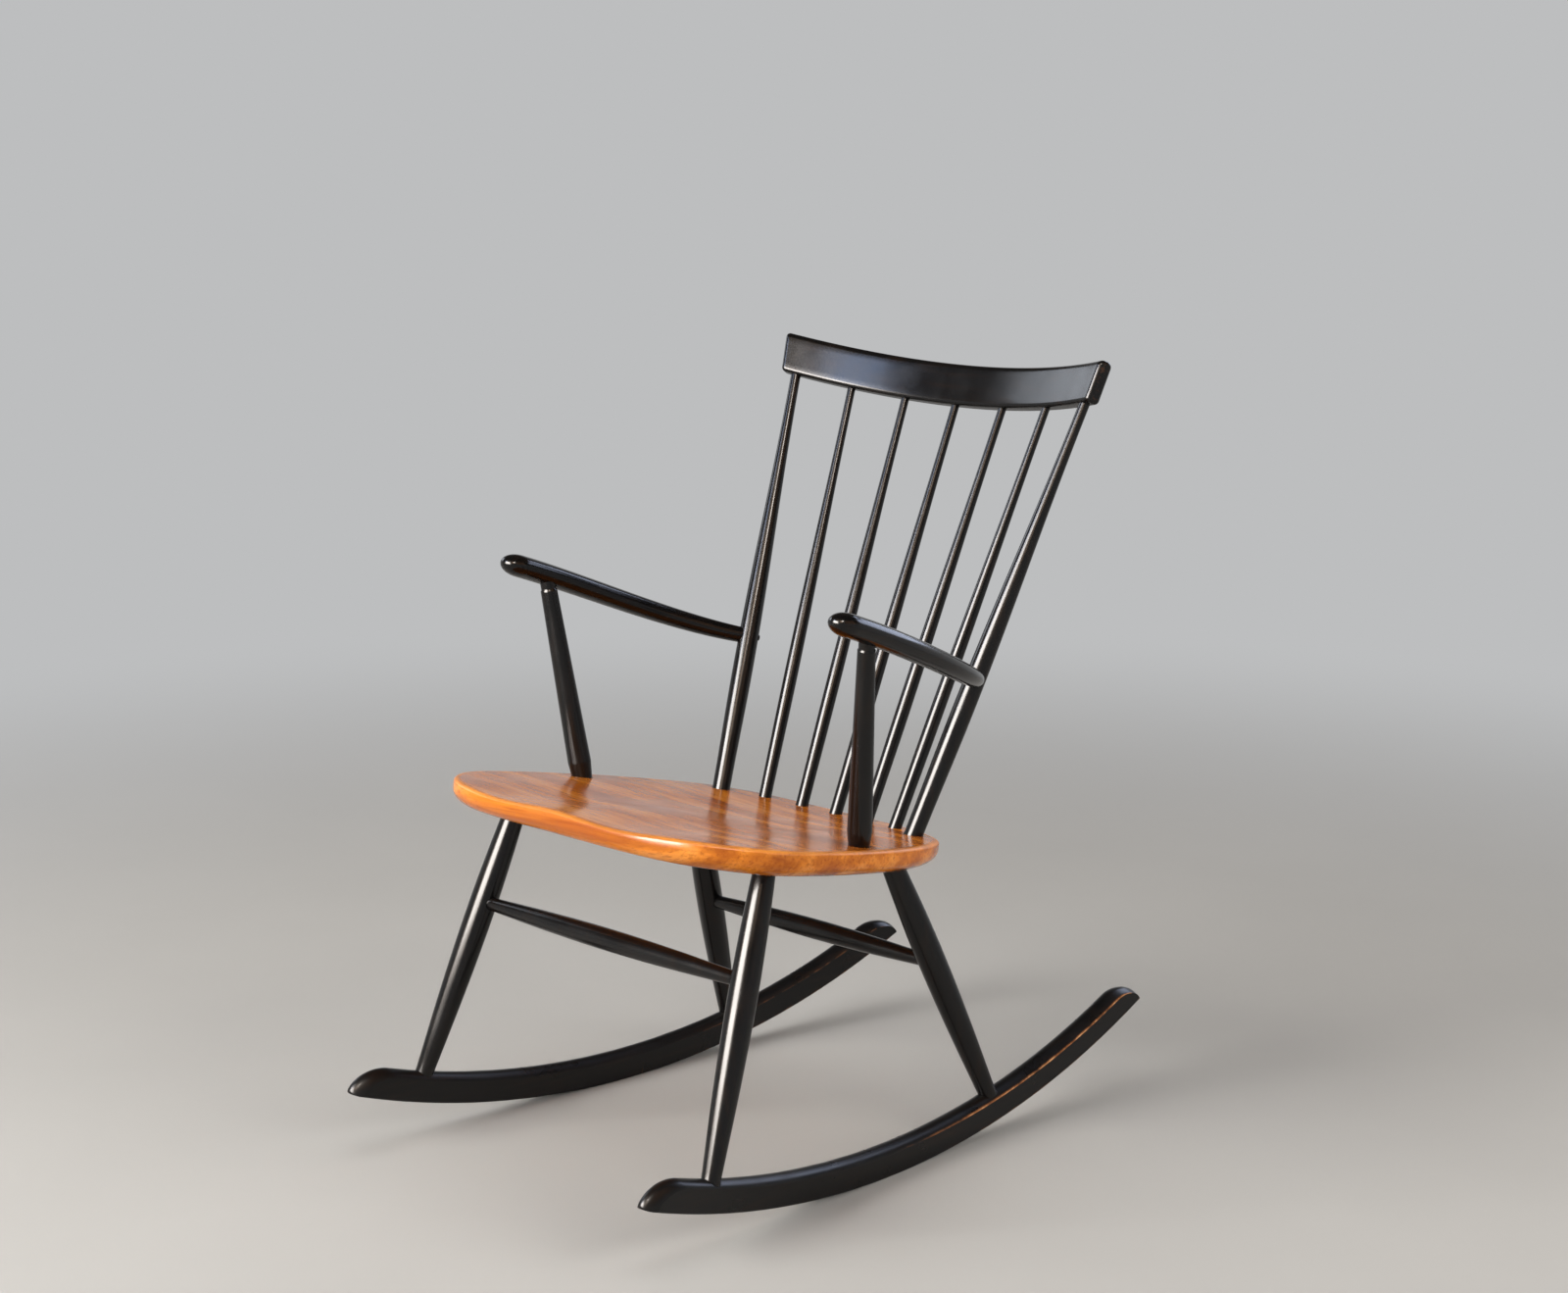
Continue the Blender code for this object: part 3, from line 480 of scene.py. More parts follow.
def oiled_teak(finish, slope):
    """Teak plank, sawn along the grain, saddled, sanded and oiled.

    It gives orange-brown wood with dark streaks from side to side, and a clear sheen at low angles.
    """
    name = "oiled_teak_plank"
    if name in bpy.data.materials:
        return bpy.data.materials[name]
    material, tree, shader = new_material(name)
    rgb = {"data_type": "RGBA"}
    where = add_node(tree, "ShaderNodeTexCoord", output="Object")
    turn = (slope, GRAIN_SLANT, GRAIN_SLANT)
    level = add_node(tree, "ShaderNodeMapping", None, {"Vector": where, "Rotation": turn})

    # Growth bands about 35 mm wide and 20 mm deep, as long as the plank, with finer lines inside them
    lengthwise = add_node(tree, "ShaderNodeMapping", None, {"Vector": level, "Scale": (1.3, 28, 50)})
    bands = add_node(
        tree,
        "ShaderNodeTexNoise",
        None,
        {"Vector": lengthwise, "Scale": 1.0, "Detail": 5.0, "Roughness": 0.55, "Distortion": 0.1},
    )
    toned = add_node(tree, "ShaderNodeMapRange", None, {"Value": bands, "From Min": 0.28, "From Max": 0.55})
    body = add_node(
        tree,
        "ShaderNodeMix",
        rgb,
        {"Factor_Float": toned, "A_Color": opaque(finish.teak_line), "B_Color": opaque(finish.teak_body)},
        output=2,
    )
    bright = add_node(
        tree,
        "ShaderNodeMapRange",
        None,
        {"Value": bands, "From Min": 0.52, "From Max": 0.74, "To Max": 0.6},
    )
    streaked = add_node(
        tree,
        "ShaderNodeMix",
        rgb,
        {"Factor_Float": bright, "A_Color": body, "B_Color": opaque(finish.teak_light)},
        output=2,
    )

    # Dark lines about 4 mm wide and 250 mm long, and pores about 1 mm wide and 20 mm long
    narrow = add_node(tree, "ShaderNodeMapping", None, {"Vector": level, "Scale": (4, 240, 240)})
    lines = add_node(tree, "ShaderNodeTexNoise", None, {"Vector": narrow, "Scale": 1.0, "Detail": 3.0})
    line_share = add_node(
        tree,
        "ShaderNodeMapRange",
        None,
        {"Value": lines, "From Min": 0.5, "From Max": 0.72, "To Max": 0.65},
    )
    lined = add_node(
        tree,
        "ShaderNodeMix",
        rgb,
        {"Factor_Float": line_share, "A_Color": streaked, "B_Color": opaque(finish.teak_line)},
        output=2,
    )
    short = add_node(tree, "ShaderNodeMapping", None, {"Vector": level, "Scale": (50, 1000, 1000)})
    dashes = add_node(tree, "ShaderNodeTexNoise", None, {"Vector": short, "Scale": 1.0, "Detail": 2.0})
    pore_share = add_node(
        tree,
        "ShaderNodeMapRange",
        None,
        {"Value": dashes, "From Min": 0.6, "From Max": 0.7, "To Max": 0.6},
    )
    pored = add_node(
        tree,
        "ShaderNodeMix",
        rgb,
        {"Factor_Float": pore_share, "A_Color": lined, "B_Color": opaque(finish.teak_line)},
        output=2,
    )

    # The rim is painted paler: partly rubbed wear, partly a painted highlight along its rounding
    rim = add_node(tree, "ShaderNodeAttribute", {"attribute_name": "wear"}, output="Fac")
    rim_wear_and_highlight = add_node(
        tree, "ShaderNodeMath", {"operation": "MULTIPLY"}, {"Value": rim, "Value_001": RIM_WEAR_AND_HIGHLIGHT}
    )
    coloured = add_node(
        tree,
        "ShaderNodeMix",
        rgb,
        {"Factor_Float": rim_wear_and_highlight, "A_Color": pored, "B_Color": opaque(finish.teak_light)},
        output=2,
    )

    # Hands and cloth polish the oil unevenly, over about 60 mm
    polish = add_node(tree, "ShaderNodeTexNoise", None, {"Vector": where, "Scale": 16.0, "Detail": 4.0})
    polished = add_node(
        tree,
        "ShaderNodeMapRange",
        None,
        {"Value": polish, "From Min": 0.3, "From Max": 0.7, "To Min": 0.15, "To Max": 0.26},
    )
    roughness = add_node(
        tree,
        "ShaderNodeMix",
        {"data_type": "FLOAT"},
        {"Factor_Float": rim, "A_Float": polished, "B_Float": RIM_ROUGHNESS},
    )
    bump = add_node(tree, "ShaderNodeBump", None, {"Strength": 0.06, "Distance": 0.0004, "Height": lines})
    tree.links.new(coloured, shader.inputs["Base Color"])
    tree.links.new(roughness, shader.inputs["Roughness"])
    tree.links.new(bump, shader.inputs["Normal"])
    shader.inputs["IOR"].default_value = 1.4
    return material


def blackened_steel(finish):
    """Steel screw, cold headed and blackened in oil. It gives a dull dark shine with rubbed spots."""
    name = "blackened_steel_screw"
    if name in bpy.data.materials:
        return bpy.data.materials[name]
    material, tree, shader = new_material(name)
    where = add_node(tree, "ShaderNodeTexCoord", output="Object")
    # Spots about 1 mm across
    spots = add_node(tree, "ShaderNodeTexNoise", None, {"Vector": where, "Scale": 900.0, "Detail": 3.0})
    tone = add_node(
        tree,
        "ShaderNodeMix",
        {"data_type": "RGBA"},
        {"Factor_Float": spots, "A_Color": opaque(finish.lacquer), "B_Color": opaque(finish.steel)},
        output=2,
    )
    roughness = add_node(
        tree,
        "ShaderNodeMapRange",
        None,
        {"Value": spots, "From Min": 0.3, "From Max": 0.7, "To Min": 0.3, "To Max": 0.5},
    )
    tree.links.new(tone, shader.inputs["Base Color"])
    tree.links.new(roughness, shader.inputs["Roughness"])
    shader.inputs["Metallic"].default_value = 1.0
    return material


def painted_concrete(finish):
    """Concrete floor, trowelled and painted matt. It gives an even pale grey with faint clouds."""
    material, tree, shader = new_material("painted_concrete")
    where = add_node(tree, "ShaderNodeTexCoord", output="Object")
    # Clouds about 300 mm wide
    clouds = add_node(tree, "ShaderNodeTexNoise", None, {"Vector": where, "Scale": 3.0, "Detail": 5.0})
    tone = add_node(
        tree,
        "ShaderNodeMix",
        {"data_type": "RGBA"},
        {
            "Factor_Float": clouds,
            "A_Color": opaque(finish.floor),
            "B_Color": opaque([channel * CLOUD_SHADE for channel in finish.floor]),
        },
        output=2,
    )
    tree.links.new(tone, shader.inputs["Base Color"])
    shader.inputs["Roughness"].default_value = 0.9
    shader.inputs["Specular IOR Level"].default_value = 0.0

    # Away from the chair the floor fades to the pale backdrop
    distance = add_node(
        tree, "ShaderNodeVectorMath", {"operation": "LENGTH"}, {"Vector": where}, output="Value"
    )
    far = add_node(
        tree,
        "ShaderNodeMapRange",
        {"interpolation_type": "SMOOTHSTEP"},
        {"Value": distance, "From Min": FLOOR_NEAR, "From Max": FLOOR_FAR},
    )
    backdrop = add_node(
        tree, "ShaderNodeEmission", None, {"Color": opaque(finish.backdrop), "Strength": 1.0}
    )
    mixed = add_node(
        tree, "ShaderNodeMixShader", None, {"Fac": far, "Shader": shader.outputs[0], "Shader_001": backdrop}
    )
    tree.links.new(mixed, tree.nodes["Material Output"].inputs["Surface"])
    return material


# Meshes


def loft(name, rings, wear=None):
    """A closed mesh skinned over rings of the same number of points, with flat ends.

    Each point gets a share from 0 to 1, in the rings' order: rubbed wear on lacquered pieces, and on the
    seat's rim partly rubbed wear and partly a painted highlight.
    """
    bm = bmesh.new()
    layer = bm.verts.layers.float.new("wear")
    loops = [[bm.verts.new(point) for point in ring] for ring in rings]
    if wear:
        for loop, values in zip(loops, wear):
            for vert, value in zip(loop, values):
                vert[layer] = value
    for near, far in zip(loops, loops[1:]):
        for i in range(len(near)):
            bm.faces.new((near[i - 1], near[i], far[i], far[i - 1]))
    bm.faces.new(loops[0])
    bm.faces.new(loops[-1])
    bmesh.ops.recalc_face_normals(bm, faces=bm.faces)
    mesh = bpy.data.meshes.new(name)
    bm.to_mesh(mesh)
    bm.free()
    return mesh


def add_object(name, mesh, material=None):
    obj = bpy.data.objects.new(name, mesh)
    bpy.context.scene.collection.objects.link(obj)
    if material:
        mesh.materials.clear()
        mesh.materials.append(material)
    return obj


def across_axes(axis):
    """Two directions square to an axis and to each other."""
    first = axis.orthogonal().normalized()
    return first, axis.cross(first)


def cut(target, cutter):
    cutter.hide_render = True
    cutter.display_type = "WIRE"
    modifier = target.modifiers.new("cut", "BOOLEAN")
    modifier.operation = "DIFFERENCE"
    modifier.solver = "EXACT"
    modifier.object = cutter


def bore(target, mouth, inward, steps, lead):
    """Cuts a round hole of (diameter, depth) steps, the widest first, from a lead outside its mouth."""
    first, second = across_axes(inward)
    turns = [2 * pi * i / BORE_SIDES for i in range(BORE_SIDES)]
    rings = []
    start = -lead
    for diameter, depth in steps:
        radius = diameter / 2 / cos(pi / BORE_SIDES)
        circle = [first * (radius * cos(a)) + second * (radius * sin(a)) for a in turns]
        for along in (start, depth):
            rings.append([mouth + inward * along + offset for offset in circle])
        start = depth
    cut(target, add_object(target.name + "_bore", loft("bore", rings)))


def eased(steps):
    """The steps of a socket that clears a tenon's steps."""
    return [(diameter + 2 * CLEARANCE, reach + CLEARANCE) for diameter, reach in steps]


def settle(obj):
    """Makes the object's evaluated shape its plain mesh, and removes its modifiers and cutters."""
    cutters = [modifier.object for modifier in obj.modifiers if modifier.type == "BOOLEAN"]
    graph = bpy.context.evaluated_depsgraph_get()
    mesh = bpy.data.meshes.new_from_object(
        obj.evaluated_get(graph), preserve_all_data_layers=True, depsgraph=graph
    )
    obj.modifiers.clear()
    obj.data = mesh
    for cutter in cutters:
        bpy.data.objects.remove(cutter)
    mesh.name = obj.name
    mesh.shade_smooth()
    mesh.set_sharp_from_angle(angle=SHARP_ANGLE)


def hand_over(obj, node):
    """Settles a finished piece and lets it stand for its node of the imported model."""
    settle(obj)
    if not obj.data.polygons:
        raise RuntimeError(f"{obj.name} came out empty")
    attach(obj, "root")
    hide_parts(node)


# Turned members


class Turning(NamedTuple):
    """Diameters of a turned member, its belly's share of the length from the foot, and its outline."""

    foot: float
    belly: float
    belly_share: float
    head: float
    outline: int


class Member(NamedTuple):
    """A turned member between the two surfaces that it runs into."""

    foot: Vector
    head: Vector
    shape: Turning

    def axis(self):
        return (self.head - self.foot).normalized()

    def at_height(self, height):
        """The point of the axis at a height above the floor."""
        return self.foot.lerp(self.head, (height - self.foot.z) / (self.head.z - self.foot.z))

    def radius_at(self, point):
        along = (point - self.foot).dot(self.axis()) / (self.head - self.foot).length
        shape = self.shape
        if along < shape.belly_share:
            end = shape.foot
            distance = (shape.belly_share - along) / shape.belly_share
        else:
            end = shape.head
            distance = (along - shape.belly_share) / (1 - shape.belly_share)
        falls = (1 - cos(pi / 2 * distance), (1 - cos(pi * distance)) / 2, distance)
        return (shape.belly - (shape.belly - end) * falls[shape.outline]) / 2


TURNED_INPUTS = (
    ("Foot", "NodeSocketVector"),
    ("Head", "NodeSocketVector"),
    ("Foot Diameter", "NodeSocketFloat"),
    ("Belly Diameter", "NodeSocketFloat"),
    ("Belly Share", "NodeSocketFloat"),
    ("Head Diameter", "NodeSocketFloat"),
    ("Drawn Out", "NodeSocketBool"),
    ("Straight", "NodeSocketBool"),
    ("Foot Neck", "NodeSocketFloat"),
    ("Foot Shoulder", "NodeSocketFloat"),
    ("Foot Reach", "NodeSocketFloat"),
    ("Head Neck", "NodeSocketFloat"),
    ("Head Shoulder", "NodeSocketFloat"),
    ("Head Reach", "NodeSocketFloat"),
    ("Sides", "NodeSocketInt"),
    ("Ring Spacing", "NodeSocketFloat"),
    ("Material", "NodeSocketMaterial"),
)


def turned_member_tree():
    """Geometry nodes that turn a member about the line from its foot to its head, tenons included."""
    name = "turned_member"
    if name in bpy.data.node_groups:
        return bpy.data.node_groups[name]
    tree = bpy.data.node_groups.new(name, "GeometryNodeTree")
    for socket_name, socket_type in TURNED_INPUTS:
        tree.interface.new_socket(socket_name, in_out="INPUT", socket_type=socket_type)
    tree.interface.new_socket("Geometry", in_out="OUTPUT", socket_type="NodeSocketGeometry")
    given = tree.nodes.new("NodeGroupInput").outputs
    math = "ShaderNodeMath"
    vector_math = "ShaderNodeVectorMath"
    add = {"operation": "ADD"}
    subtract = {"operation": "SUBTRACT"}
    multiply = {"operation": "MULTIPLY"}
    divide = {"operation": "DIVIDE"}
    scale = {"operation": "SCALE"}
    cosine = {"operation": "COSINE"}
    less = {"data_type": "FLOAT", "operation": "LESS_THAN"}
    pick = {"input_type": "FLOAT"}

    # Line of the member's axis, with the tenons at both ends
    run = add_node(tree, vector_math, subtract, {"Vector": given["Head"], "Vector_001": given["Foot"]})
    axis = add_node(tree, vector_math, {"operation": "NORMALIZE"}, {"Vector": run})
    span = add_node(tree, vector_math, {"operation": "LENGTH"}, {"Vector": run}, output="Value")
    foot_tenon = add_node(tree, vector_math, scale, {"Vector": axis, "Scale": given["Foot Reach"]})
    head_tenon = add_node(tree, vector_math, scale, {"Vector": axis, "Scale": given["Head Reach"]})
    start = add_node(tree, vector_math, subtract, {"Vector": given["Foot"], "Vector_001": foot_tenon})
    end = add_node(tree, vector_math, add, {"Vector": given["Head"], "Vector_001": head_tenon})
    line = add_node(tree, "GeometryNodeCurvePrimitiveLine", None, {"Start": start, "End": end})
    stations = add_node(
        tree,
        "GeometryNodeResampleCurve",
        {"mode": "LENGTH"},
        {"Curve": line, "Length": given["Ring Spacing"]},
    )

    # Share of the way from the belly to the nearer end
    position = add_node(tree, "GeometryNodeInputPosition")
    from_foot = add_node(tree, vector_math, subtract, {"Vector": position, "Vector_001": given["Foot"]})
    height = add_node(
        tree,
        vector_math,
        {"operation": "DOT_PRODUCT"},
        {"Vector": from_foot, "Vector_001": axis},
        output="Value",
    )
    up_share = add_node(tree, math, divide, {"Value": height, "Value_001": span})
    along = add_node(tree, "ShaderNodeClamp", None, {"Value": up_share})
    over = add_node(tree, math, subtract, {"Value": along, "Value_001": given["Belly Share"]})
    under = add_node(tree, math, multiply, {"Value": over, "Value_001": -1.0})
    upper = add_node(tree, math, subtract, {"Value": 1.0, "Value_001": given["Belly Share"]})
    to_head = add_node(tree, math, divide, {"Value": over, "Value_001": upper})
    to_foot = add_node(tree, math, divide, {"Value": under, "Value_001": given["Belly Share"]})
    distance = add_node(tree, math, {"operation": "MAXIMUM"}, {"Value": to_head, "Value_001": to_foot})

    # Fall from the belly: a quarter wave for a barrel, half a wave when drawn out, or a straight taper
    quarter_turn = add_node(tree, math, multiply, {"Value": distance, "Value_001": pi / 2})
    half_turn = add_node(tree, math, multiply, {"Value": distance, "Value_001": pi})
    quarter_wave = add_node(tree, math, cosine, {"Value": quarter_turn})
    half_wave = add_node(tree, math, cosine, {"Value": half_turn})
    barrel = add_node(tree, math, subtract, {"Value": 1.0, "Value_001": quarter_wave})
    double = add_node(tree, math, subtract, {"Value": 1.0, "Value_001": half_wave})
    drawn_out = add_node(tree, math, divide, {"Value": double, "Value_001": 2.0})
    curved = add_node(
        tree, "GeometryNodeSwitch", pick, {"Switch": given["Drawn Out"], "False": barrel, "True": drawn_out}
    )
    fall = add_node(
        tree, "GeometryNodeSwitch", pick, {"Switch": given["Straight"], "False": curved, "True": distance}
    )

    # Diameter of the body, and of the necks beyond its shoulders
    in_foot_half = add_node(tree, "FunctionNodeCompare", less, {"A": along, "B": given["Belly Share"]})
    end_diameter = add_node(
        tree,
        "GeometryNodeSwitch",
        pick,
        {"Switch": in_foot_half, "False": given["Head Diameter"], "True": given["Foot Diameter"]},
    )
    taper = add_node(tree, math, subtract, {"Value": given["Belly Diameter"], "Value_001": end_diameter})
    drop = add_node(tree, math, multiply, {"Value": taper, "Value_001": fall})
    body = add_node(tree, math, subtract, {"Value": given["Belly Diameter"], "Value_001": drop})
    foot_shoulder = add_node(tree, math, multiply, {"Value": given["Foot Shoulder"], "Value_001": -1.0})
    head_shoulder = add_node(tree, math, add, {"Value": span, "Value_001": given["Head Shoulder"]})
    in_foot_neck = add_node(tree, "FunctionNodeCompare", less, {"A": height, "B": foot_shoulder})
    in_head_neck = add_node(tree, "FunctionNodeCompare", less, {"A": head_shoulder, "B": height})
    footed = add_node(
        tree,
        "GeometryNodeSwitch",
        pick,
        {"Switch": in_foot_neck, "False": body, "True": given["Foot Neck"]},
    )
    diameter = add_node(
        tree,
        "GeometryNodeSwitch",
        pick,
        {"Switch": in_head_neck, "False": footed, "True": given["Head Neck"]},
    )

    # Skin of circles along the line
    radius = add_node(tree, math, divide, {"Value": diameter, "Value_001": 2.0})
    circle = add_node(
        tree, "GeometryNodeCurvePrimitiveCircle", None, {"Resolution": given["Sides"], "Radius": 1.0}
    )
    skin = add_node(
        tree,
        "GeometryNodeCurveToMesh",
        None,
        {"Curve": stations, "Profile Curve": circle, "Scale": radius, "Fill Caps": True},
    )
    real = add_node(tree, "GeometryNodeRealizeInstances", None, {"Geometry": skin})
    dressed = add_node(
        tree, "GeometryNodeSetMaterial", None, {"Geometry": real, "Material": given["Material"]}
    )
    add_node(tree, "NodeGroupOutput", None, {tree.interface.items_tree["Geometry"].identifier: dressed})
    return tree


def add_turned(name, member, foot_steps, head_steps, material, spacing=RING_SPACING):
    """A turned piece. Each step is the (diameter, reach) of a tenon beyond the member's own end."""
    obj = add_object(name, bpy.data.meshes.new(name))
    modifier = obj.modifiers.new("turned", "NODES")
    modifier.node_group = turned_member_tree()
    values = {
        "Foot": member.foot,
        "Head": member.head,
        "Foot Diameter": member.shape.foot,
        "Belly Diameter": member.shape.belly,
        "Belly Share": member.shape.belly_share,
        "Head Diameter": member.shape.head,
        "Drawn Out": member.shape.outline == DRAWN_OUT,
        "Straight": member.shape.outline == STRAIGHT,
        "Foot Neck": foot_steps[-1][0],
        "Foot Shoulder": foot_steps[0][1] if len(foot_steps) > 1 else 0.0,
        "Foot Reach": foot_steps[-1][1],
        "Head Neck": head_steps[-1][0],
        "Head Shoulder": head_steps[0][1] if len(head_steps) > 1 else 0.0,
        "Head Reach": head_steps[-1][1],
        "Sides": TURNED_SIDES,
        "Ring Spacing": spacing,
        "Material": material,
    }
    sockets = {item.name: item.identifier for item in modifier.node_group.interface.items_tree}
    for socket_name, value in values.items():
        modifier[sockets[socket_name]] = value
    settle(obj)
    return obj


# Rockers


def contact_y(rocker):
    """Where the rockers touch the floor, so that their tips lie evenly about the origin."""
    return -(rocker.rear_reach - rocker.front_reach) / 2 * cos(rocker.toe_in)


def rocker_point(rocker, side, along, above, across=0.0):
    """A point of a rocker: arc length from the floor contact, height above its sole, and sideways."""
    turn = along / rocker.radius
    forward = (rocker.radius - above) * sin(turn)
    height = rocker.radius - (rocker.radius - above) * cos(turn)
    x = rocker.half_spread + across * cos(rocker.toe_in) - forward * sin(rocker.toe_in)
    y = contact_y(rocker) + across * sin(rocker.toe_in) + forward * cos(rocker.toe_in)
    return Vector((side * x, y, height))


def spread_evenly(first, last, count):
    return [first + (last - first) * i / (count - 1) for i in range(count)]


def rocker_outline(rocker, inset, lift):
    """(along, above) points round a rocker's side, its top drawn in by an inset and its sole by a lift."""
    front = -rocker.radius * asin(rocker.front_reach / rocker.radius)
    rear = rocker.radius * asin(rocker.rear_reach / rocker.radius)
    tip = max(TIP_RADIUS - inset, SMALLEST)
    low = lift + tip
    top = rocker.height - inset

    def nose(end, way, roll):
        """From the sole up round a nose to the top, on the way towards the rocker's middle."""
        edge = end + way * roll * inset
        reach = rocker.nose_length - inset
        points = []
        for i in range(TIP_STEPS):
            a = pi / 2 * i / TIP_STEPS
            points.append((edge + way * tip * (1 - sin(a)), lift + tip * (1 - cos(a))))
        for i in range(NOSE_STEPS + 1):
            a = pi / 2 * i / NOSE_STEPS
            back = 1 - max(cos(a), 0) ** NOSE_SHARPNESS
            points.append((edge + way * reach * back, low + (top - low) * sin(a) ** NOSE_SHARPNESS))
        return points

    half_nose = rocker.nose_length / 2
    sole = [(along, lift) for along in spread_evenly(front + half_nose, rear - half_nose, SOLE_STEPS)]
    margin = rocker.nose_length + rocker.crown * FRONT_NOSE_ROLL
    crown = [(along, top) for along in spread_evenly(rear - margin, front + margin, SOLE_STEPS)]
    front_nose = nose(front, 1, FRONT_NOSE_ROLL)
    return sole + nose(rear, -1, REAR_NOSE_ROLL) + crown + front_nose[::-1]


def rocker_wear(rocker, side, along, above, edge_share):
    """Share of wear: the left rocker's upper arrises are rubbed towards the back, the others a little."""
    back = min(1, max(0, (along - WEAR_START) / WEAR_FADE))
    rubbed = 1.0 if side == LEFT and above > rocker.height / 2 else FAINT_WEAR
    return edge_share * rubbed * back * back * (3 - 2 * back)


def add_rocker(rocker, name, side, material):
    """A sawn runner with flat sides, a rounded crown and eased sole edges."""
    half = rocker.thickness / 2
    crown_radius = (half * half + rocker.crown * rocker.crown) / (2 * rocker.crown)
    places = CROWN_PLACES + tuple(-p for p in CROWN_PLACES[-2::-1])
    slices = [(half, rocker.crown + band, SOLE_ROUND + band, 0.0) for band in reversed(ARRIS_BANDS)]
    slices[-1] = (*slices[-1][:3], ARRIS_SIDE_WEAR)
    for across_share in places:
        across = half * across_share
        inset = crown_radius - sqrt(crown_radius**2 - across**2)
        beyond = max(0, abs(across) - half + SOLE_ROUND)
        lift = SOLE_ROUND - sqrt(SOLE_ROUND**2 - beyond**2)
        edge_share = max(0, 1 - (half - abs(across)) / ARRIS_WEAR)
        slices.append((across, inset, lift, edge_share))
    slices += [(-half, inset, lift, edge_share) for _, inset, lift, edge_share in slices[1::-1]]
    rings = []
    wear = []
    for across, inset, lift, edge_share in slices:
        outline = rocker_outline(rocker, inset, lift)
        rings.append([rocker_point(rocker, side, along, above, across) for along, above in outline])
        wear.append([rocker_wear(rocker, side, along, above, edge_share) for along, above in outline])
    return add_object(name, loft(name, rings, wear), material)


def rocker_top(rocker, side, y):
    """The point on the middle line of a rocker's top at a given Y."""
    forward = (y - contact_y(rocker)) / cos(rocker.toe_in)
    along = rocker.radius * asin(forward / (rocker.radius - rocker.height))
    return rocker_point(rocker, side, along, rocker.height)


# Seat


def seat_point(seat, x, y, below=0.0):
    """A point under the seat's plane, at a plan position and a depth square to the plane."""
    down = Vector((0, -sin(seat.slope), -cos(seat.slope)))
    return Vector((x, y, seat.height - y * tan(seat.slope))) + down * below


def seat_outline(seat):
    """Plan points of the seat's edge, right round, with their outward directions."""

    def knot(x, y, turn, pulls):
        return Vector((x, y)), Vector((cos(turn), sin(turn))), *pulls

    knots = [
        knot(0, -seat.front, 0, (FRONT_PULL, FRONT_PULL)),
        knot(*FRONT_CORNER, FRONT_CORNER_TURN, FRONT_CORNER_PULLS),
        knot(seat.half_width, WIDEST_AT, pi / 2, WIDEST_PULLS),
        knot(*REAR_CORNER, REAR_CORNER_TURN, REAR_CORNER_PULLS),
        knot(0, seat.rear, pi, (REAR_PULL, REAR_PULL)),
    ]
    half = []
    for (start, leaving, _, after), (end, arriving, before, _) in zip(knots, knots[1:]):
        handles = (start, start + leaving * after, end - arriving * before, end)
        half += interpolate_bezier(*handles, SEAT_CURVE_STEPS)[:-1]
    half.append(knots[-1][0])
    other = [Vector((-point.x, point.y)) for point in half[-2:0:-1]]
    points = [Vector(point[:2]) for point in half + other]
    normals = []
    for i in range(len(points)):
        run = points[(i + 1) % len(points)] - points[i - 1]
        normals.append(Vector((run.y, -run.x)).normalized())
    return list(zip(points, normals))


def saddle(seat, x, y):
    """Height of the seat's top above its plane: a broad dish, and a trough for each thigh."""
    reach = (x / SADDLE_REACH_X) ** 2 + ((y - SADDLE_CENTRE_Y) / SADDLE_REACH_Y) ** 2
    dish = seat.saddle_depth * max(0, 1 - reach) ** 2
    fade = min(1, max(0, (THIGH_LENGTH - seat.front - y) / THIGH_FADE))
    troughs = sum(exp(-(((x - side * THIGH_X) / THIGH_SPREAD) ** 2)) for side in SIDES.values())
    return -dish - seat.thigh_depth * troughs * fade * fade * (3 - 2 * fade)


def add_seat(seat, name, material):
    """One plank: flat underside, undercut edge, rounded rim and saddled top."""
    edge = seat_outline(seat)
    rings = []
    wear = []
    for i in range(EDGE_STEPS, -1, -1):
        a = pi / 2 * i / EDGE_STEPS
        inset = seat.undercut * (1 - cos(a))
        below = EDGE_BAND + (seat.thickness - EDGE_BAND) * sin(a)
        rings.append([(*(point - normal * inset), -below) for point, normal in edge])
        wear.append([0.0] * len(edge))
    # The rim's rounding gets a share that is partly rubbed wear and partly a painted highlight, highest at
    # the middle of the rounding
    for i in range(RIM_STEPS):
        a = pi / 2 * i / (RIM_STEPS - 1)
        rim = [point - normal * RIM_INSET * (1 - cos(a)) for point, normal in edge]
        rings.append([(x, y, saddle(seat, x, y) - RIM_DROP * (1 - sin(a))) for x, y in rim])
        wear.append([sin(2 * a)] * len(edge))
    centre = Vector((0, SADDLE_CENTRE_Y))
    for i in range(SADDLE_RINGS):
        inner = [centre.lerp(point, 1 - (i + 0.5) / SADDLE_RINGS) for point in rim]
        rings.append([(x, y, saddle(seat, x, y)) for x, y in inner])
        wear.append([0.0] * len(edge))
    placed = [[seat_point(seat, x, y, -z) for x, y, z in ring] for ring in rings]
    return add_object(name, loft(name, placed, wear), material)


# Legs and stretchers


def leg_member(chair, side, end):
    leg = chair.leg
    foot_y, head = {
        "front": (leg.front_foot_y, leg.front_head),
        "rear": (leg.rear_foot_y, leg.rear_head),
    }[end]
    shape = Turning(leg.foot, leg.belly, leg.belly_share, leg.head, BARREL)
    foot = rocker_top(chair.rocker, side, foot_y)
    return Member(foot, seat_point(chair.seat, side * head[0], head[1], chair.seat.thickness), shape)


def leg_foot_steps(leg):
    return [(leg.foot, LEG_HOUSING), (leg.tenon, LEG_HOUSING + LEG_TENON_LENGTH)]


def leg_head_steps(leg):
    return [(leg.head, LEG_SOCKET)]


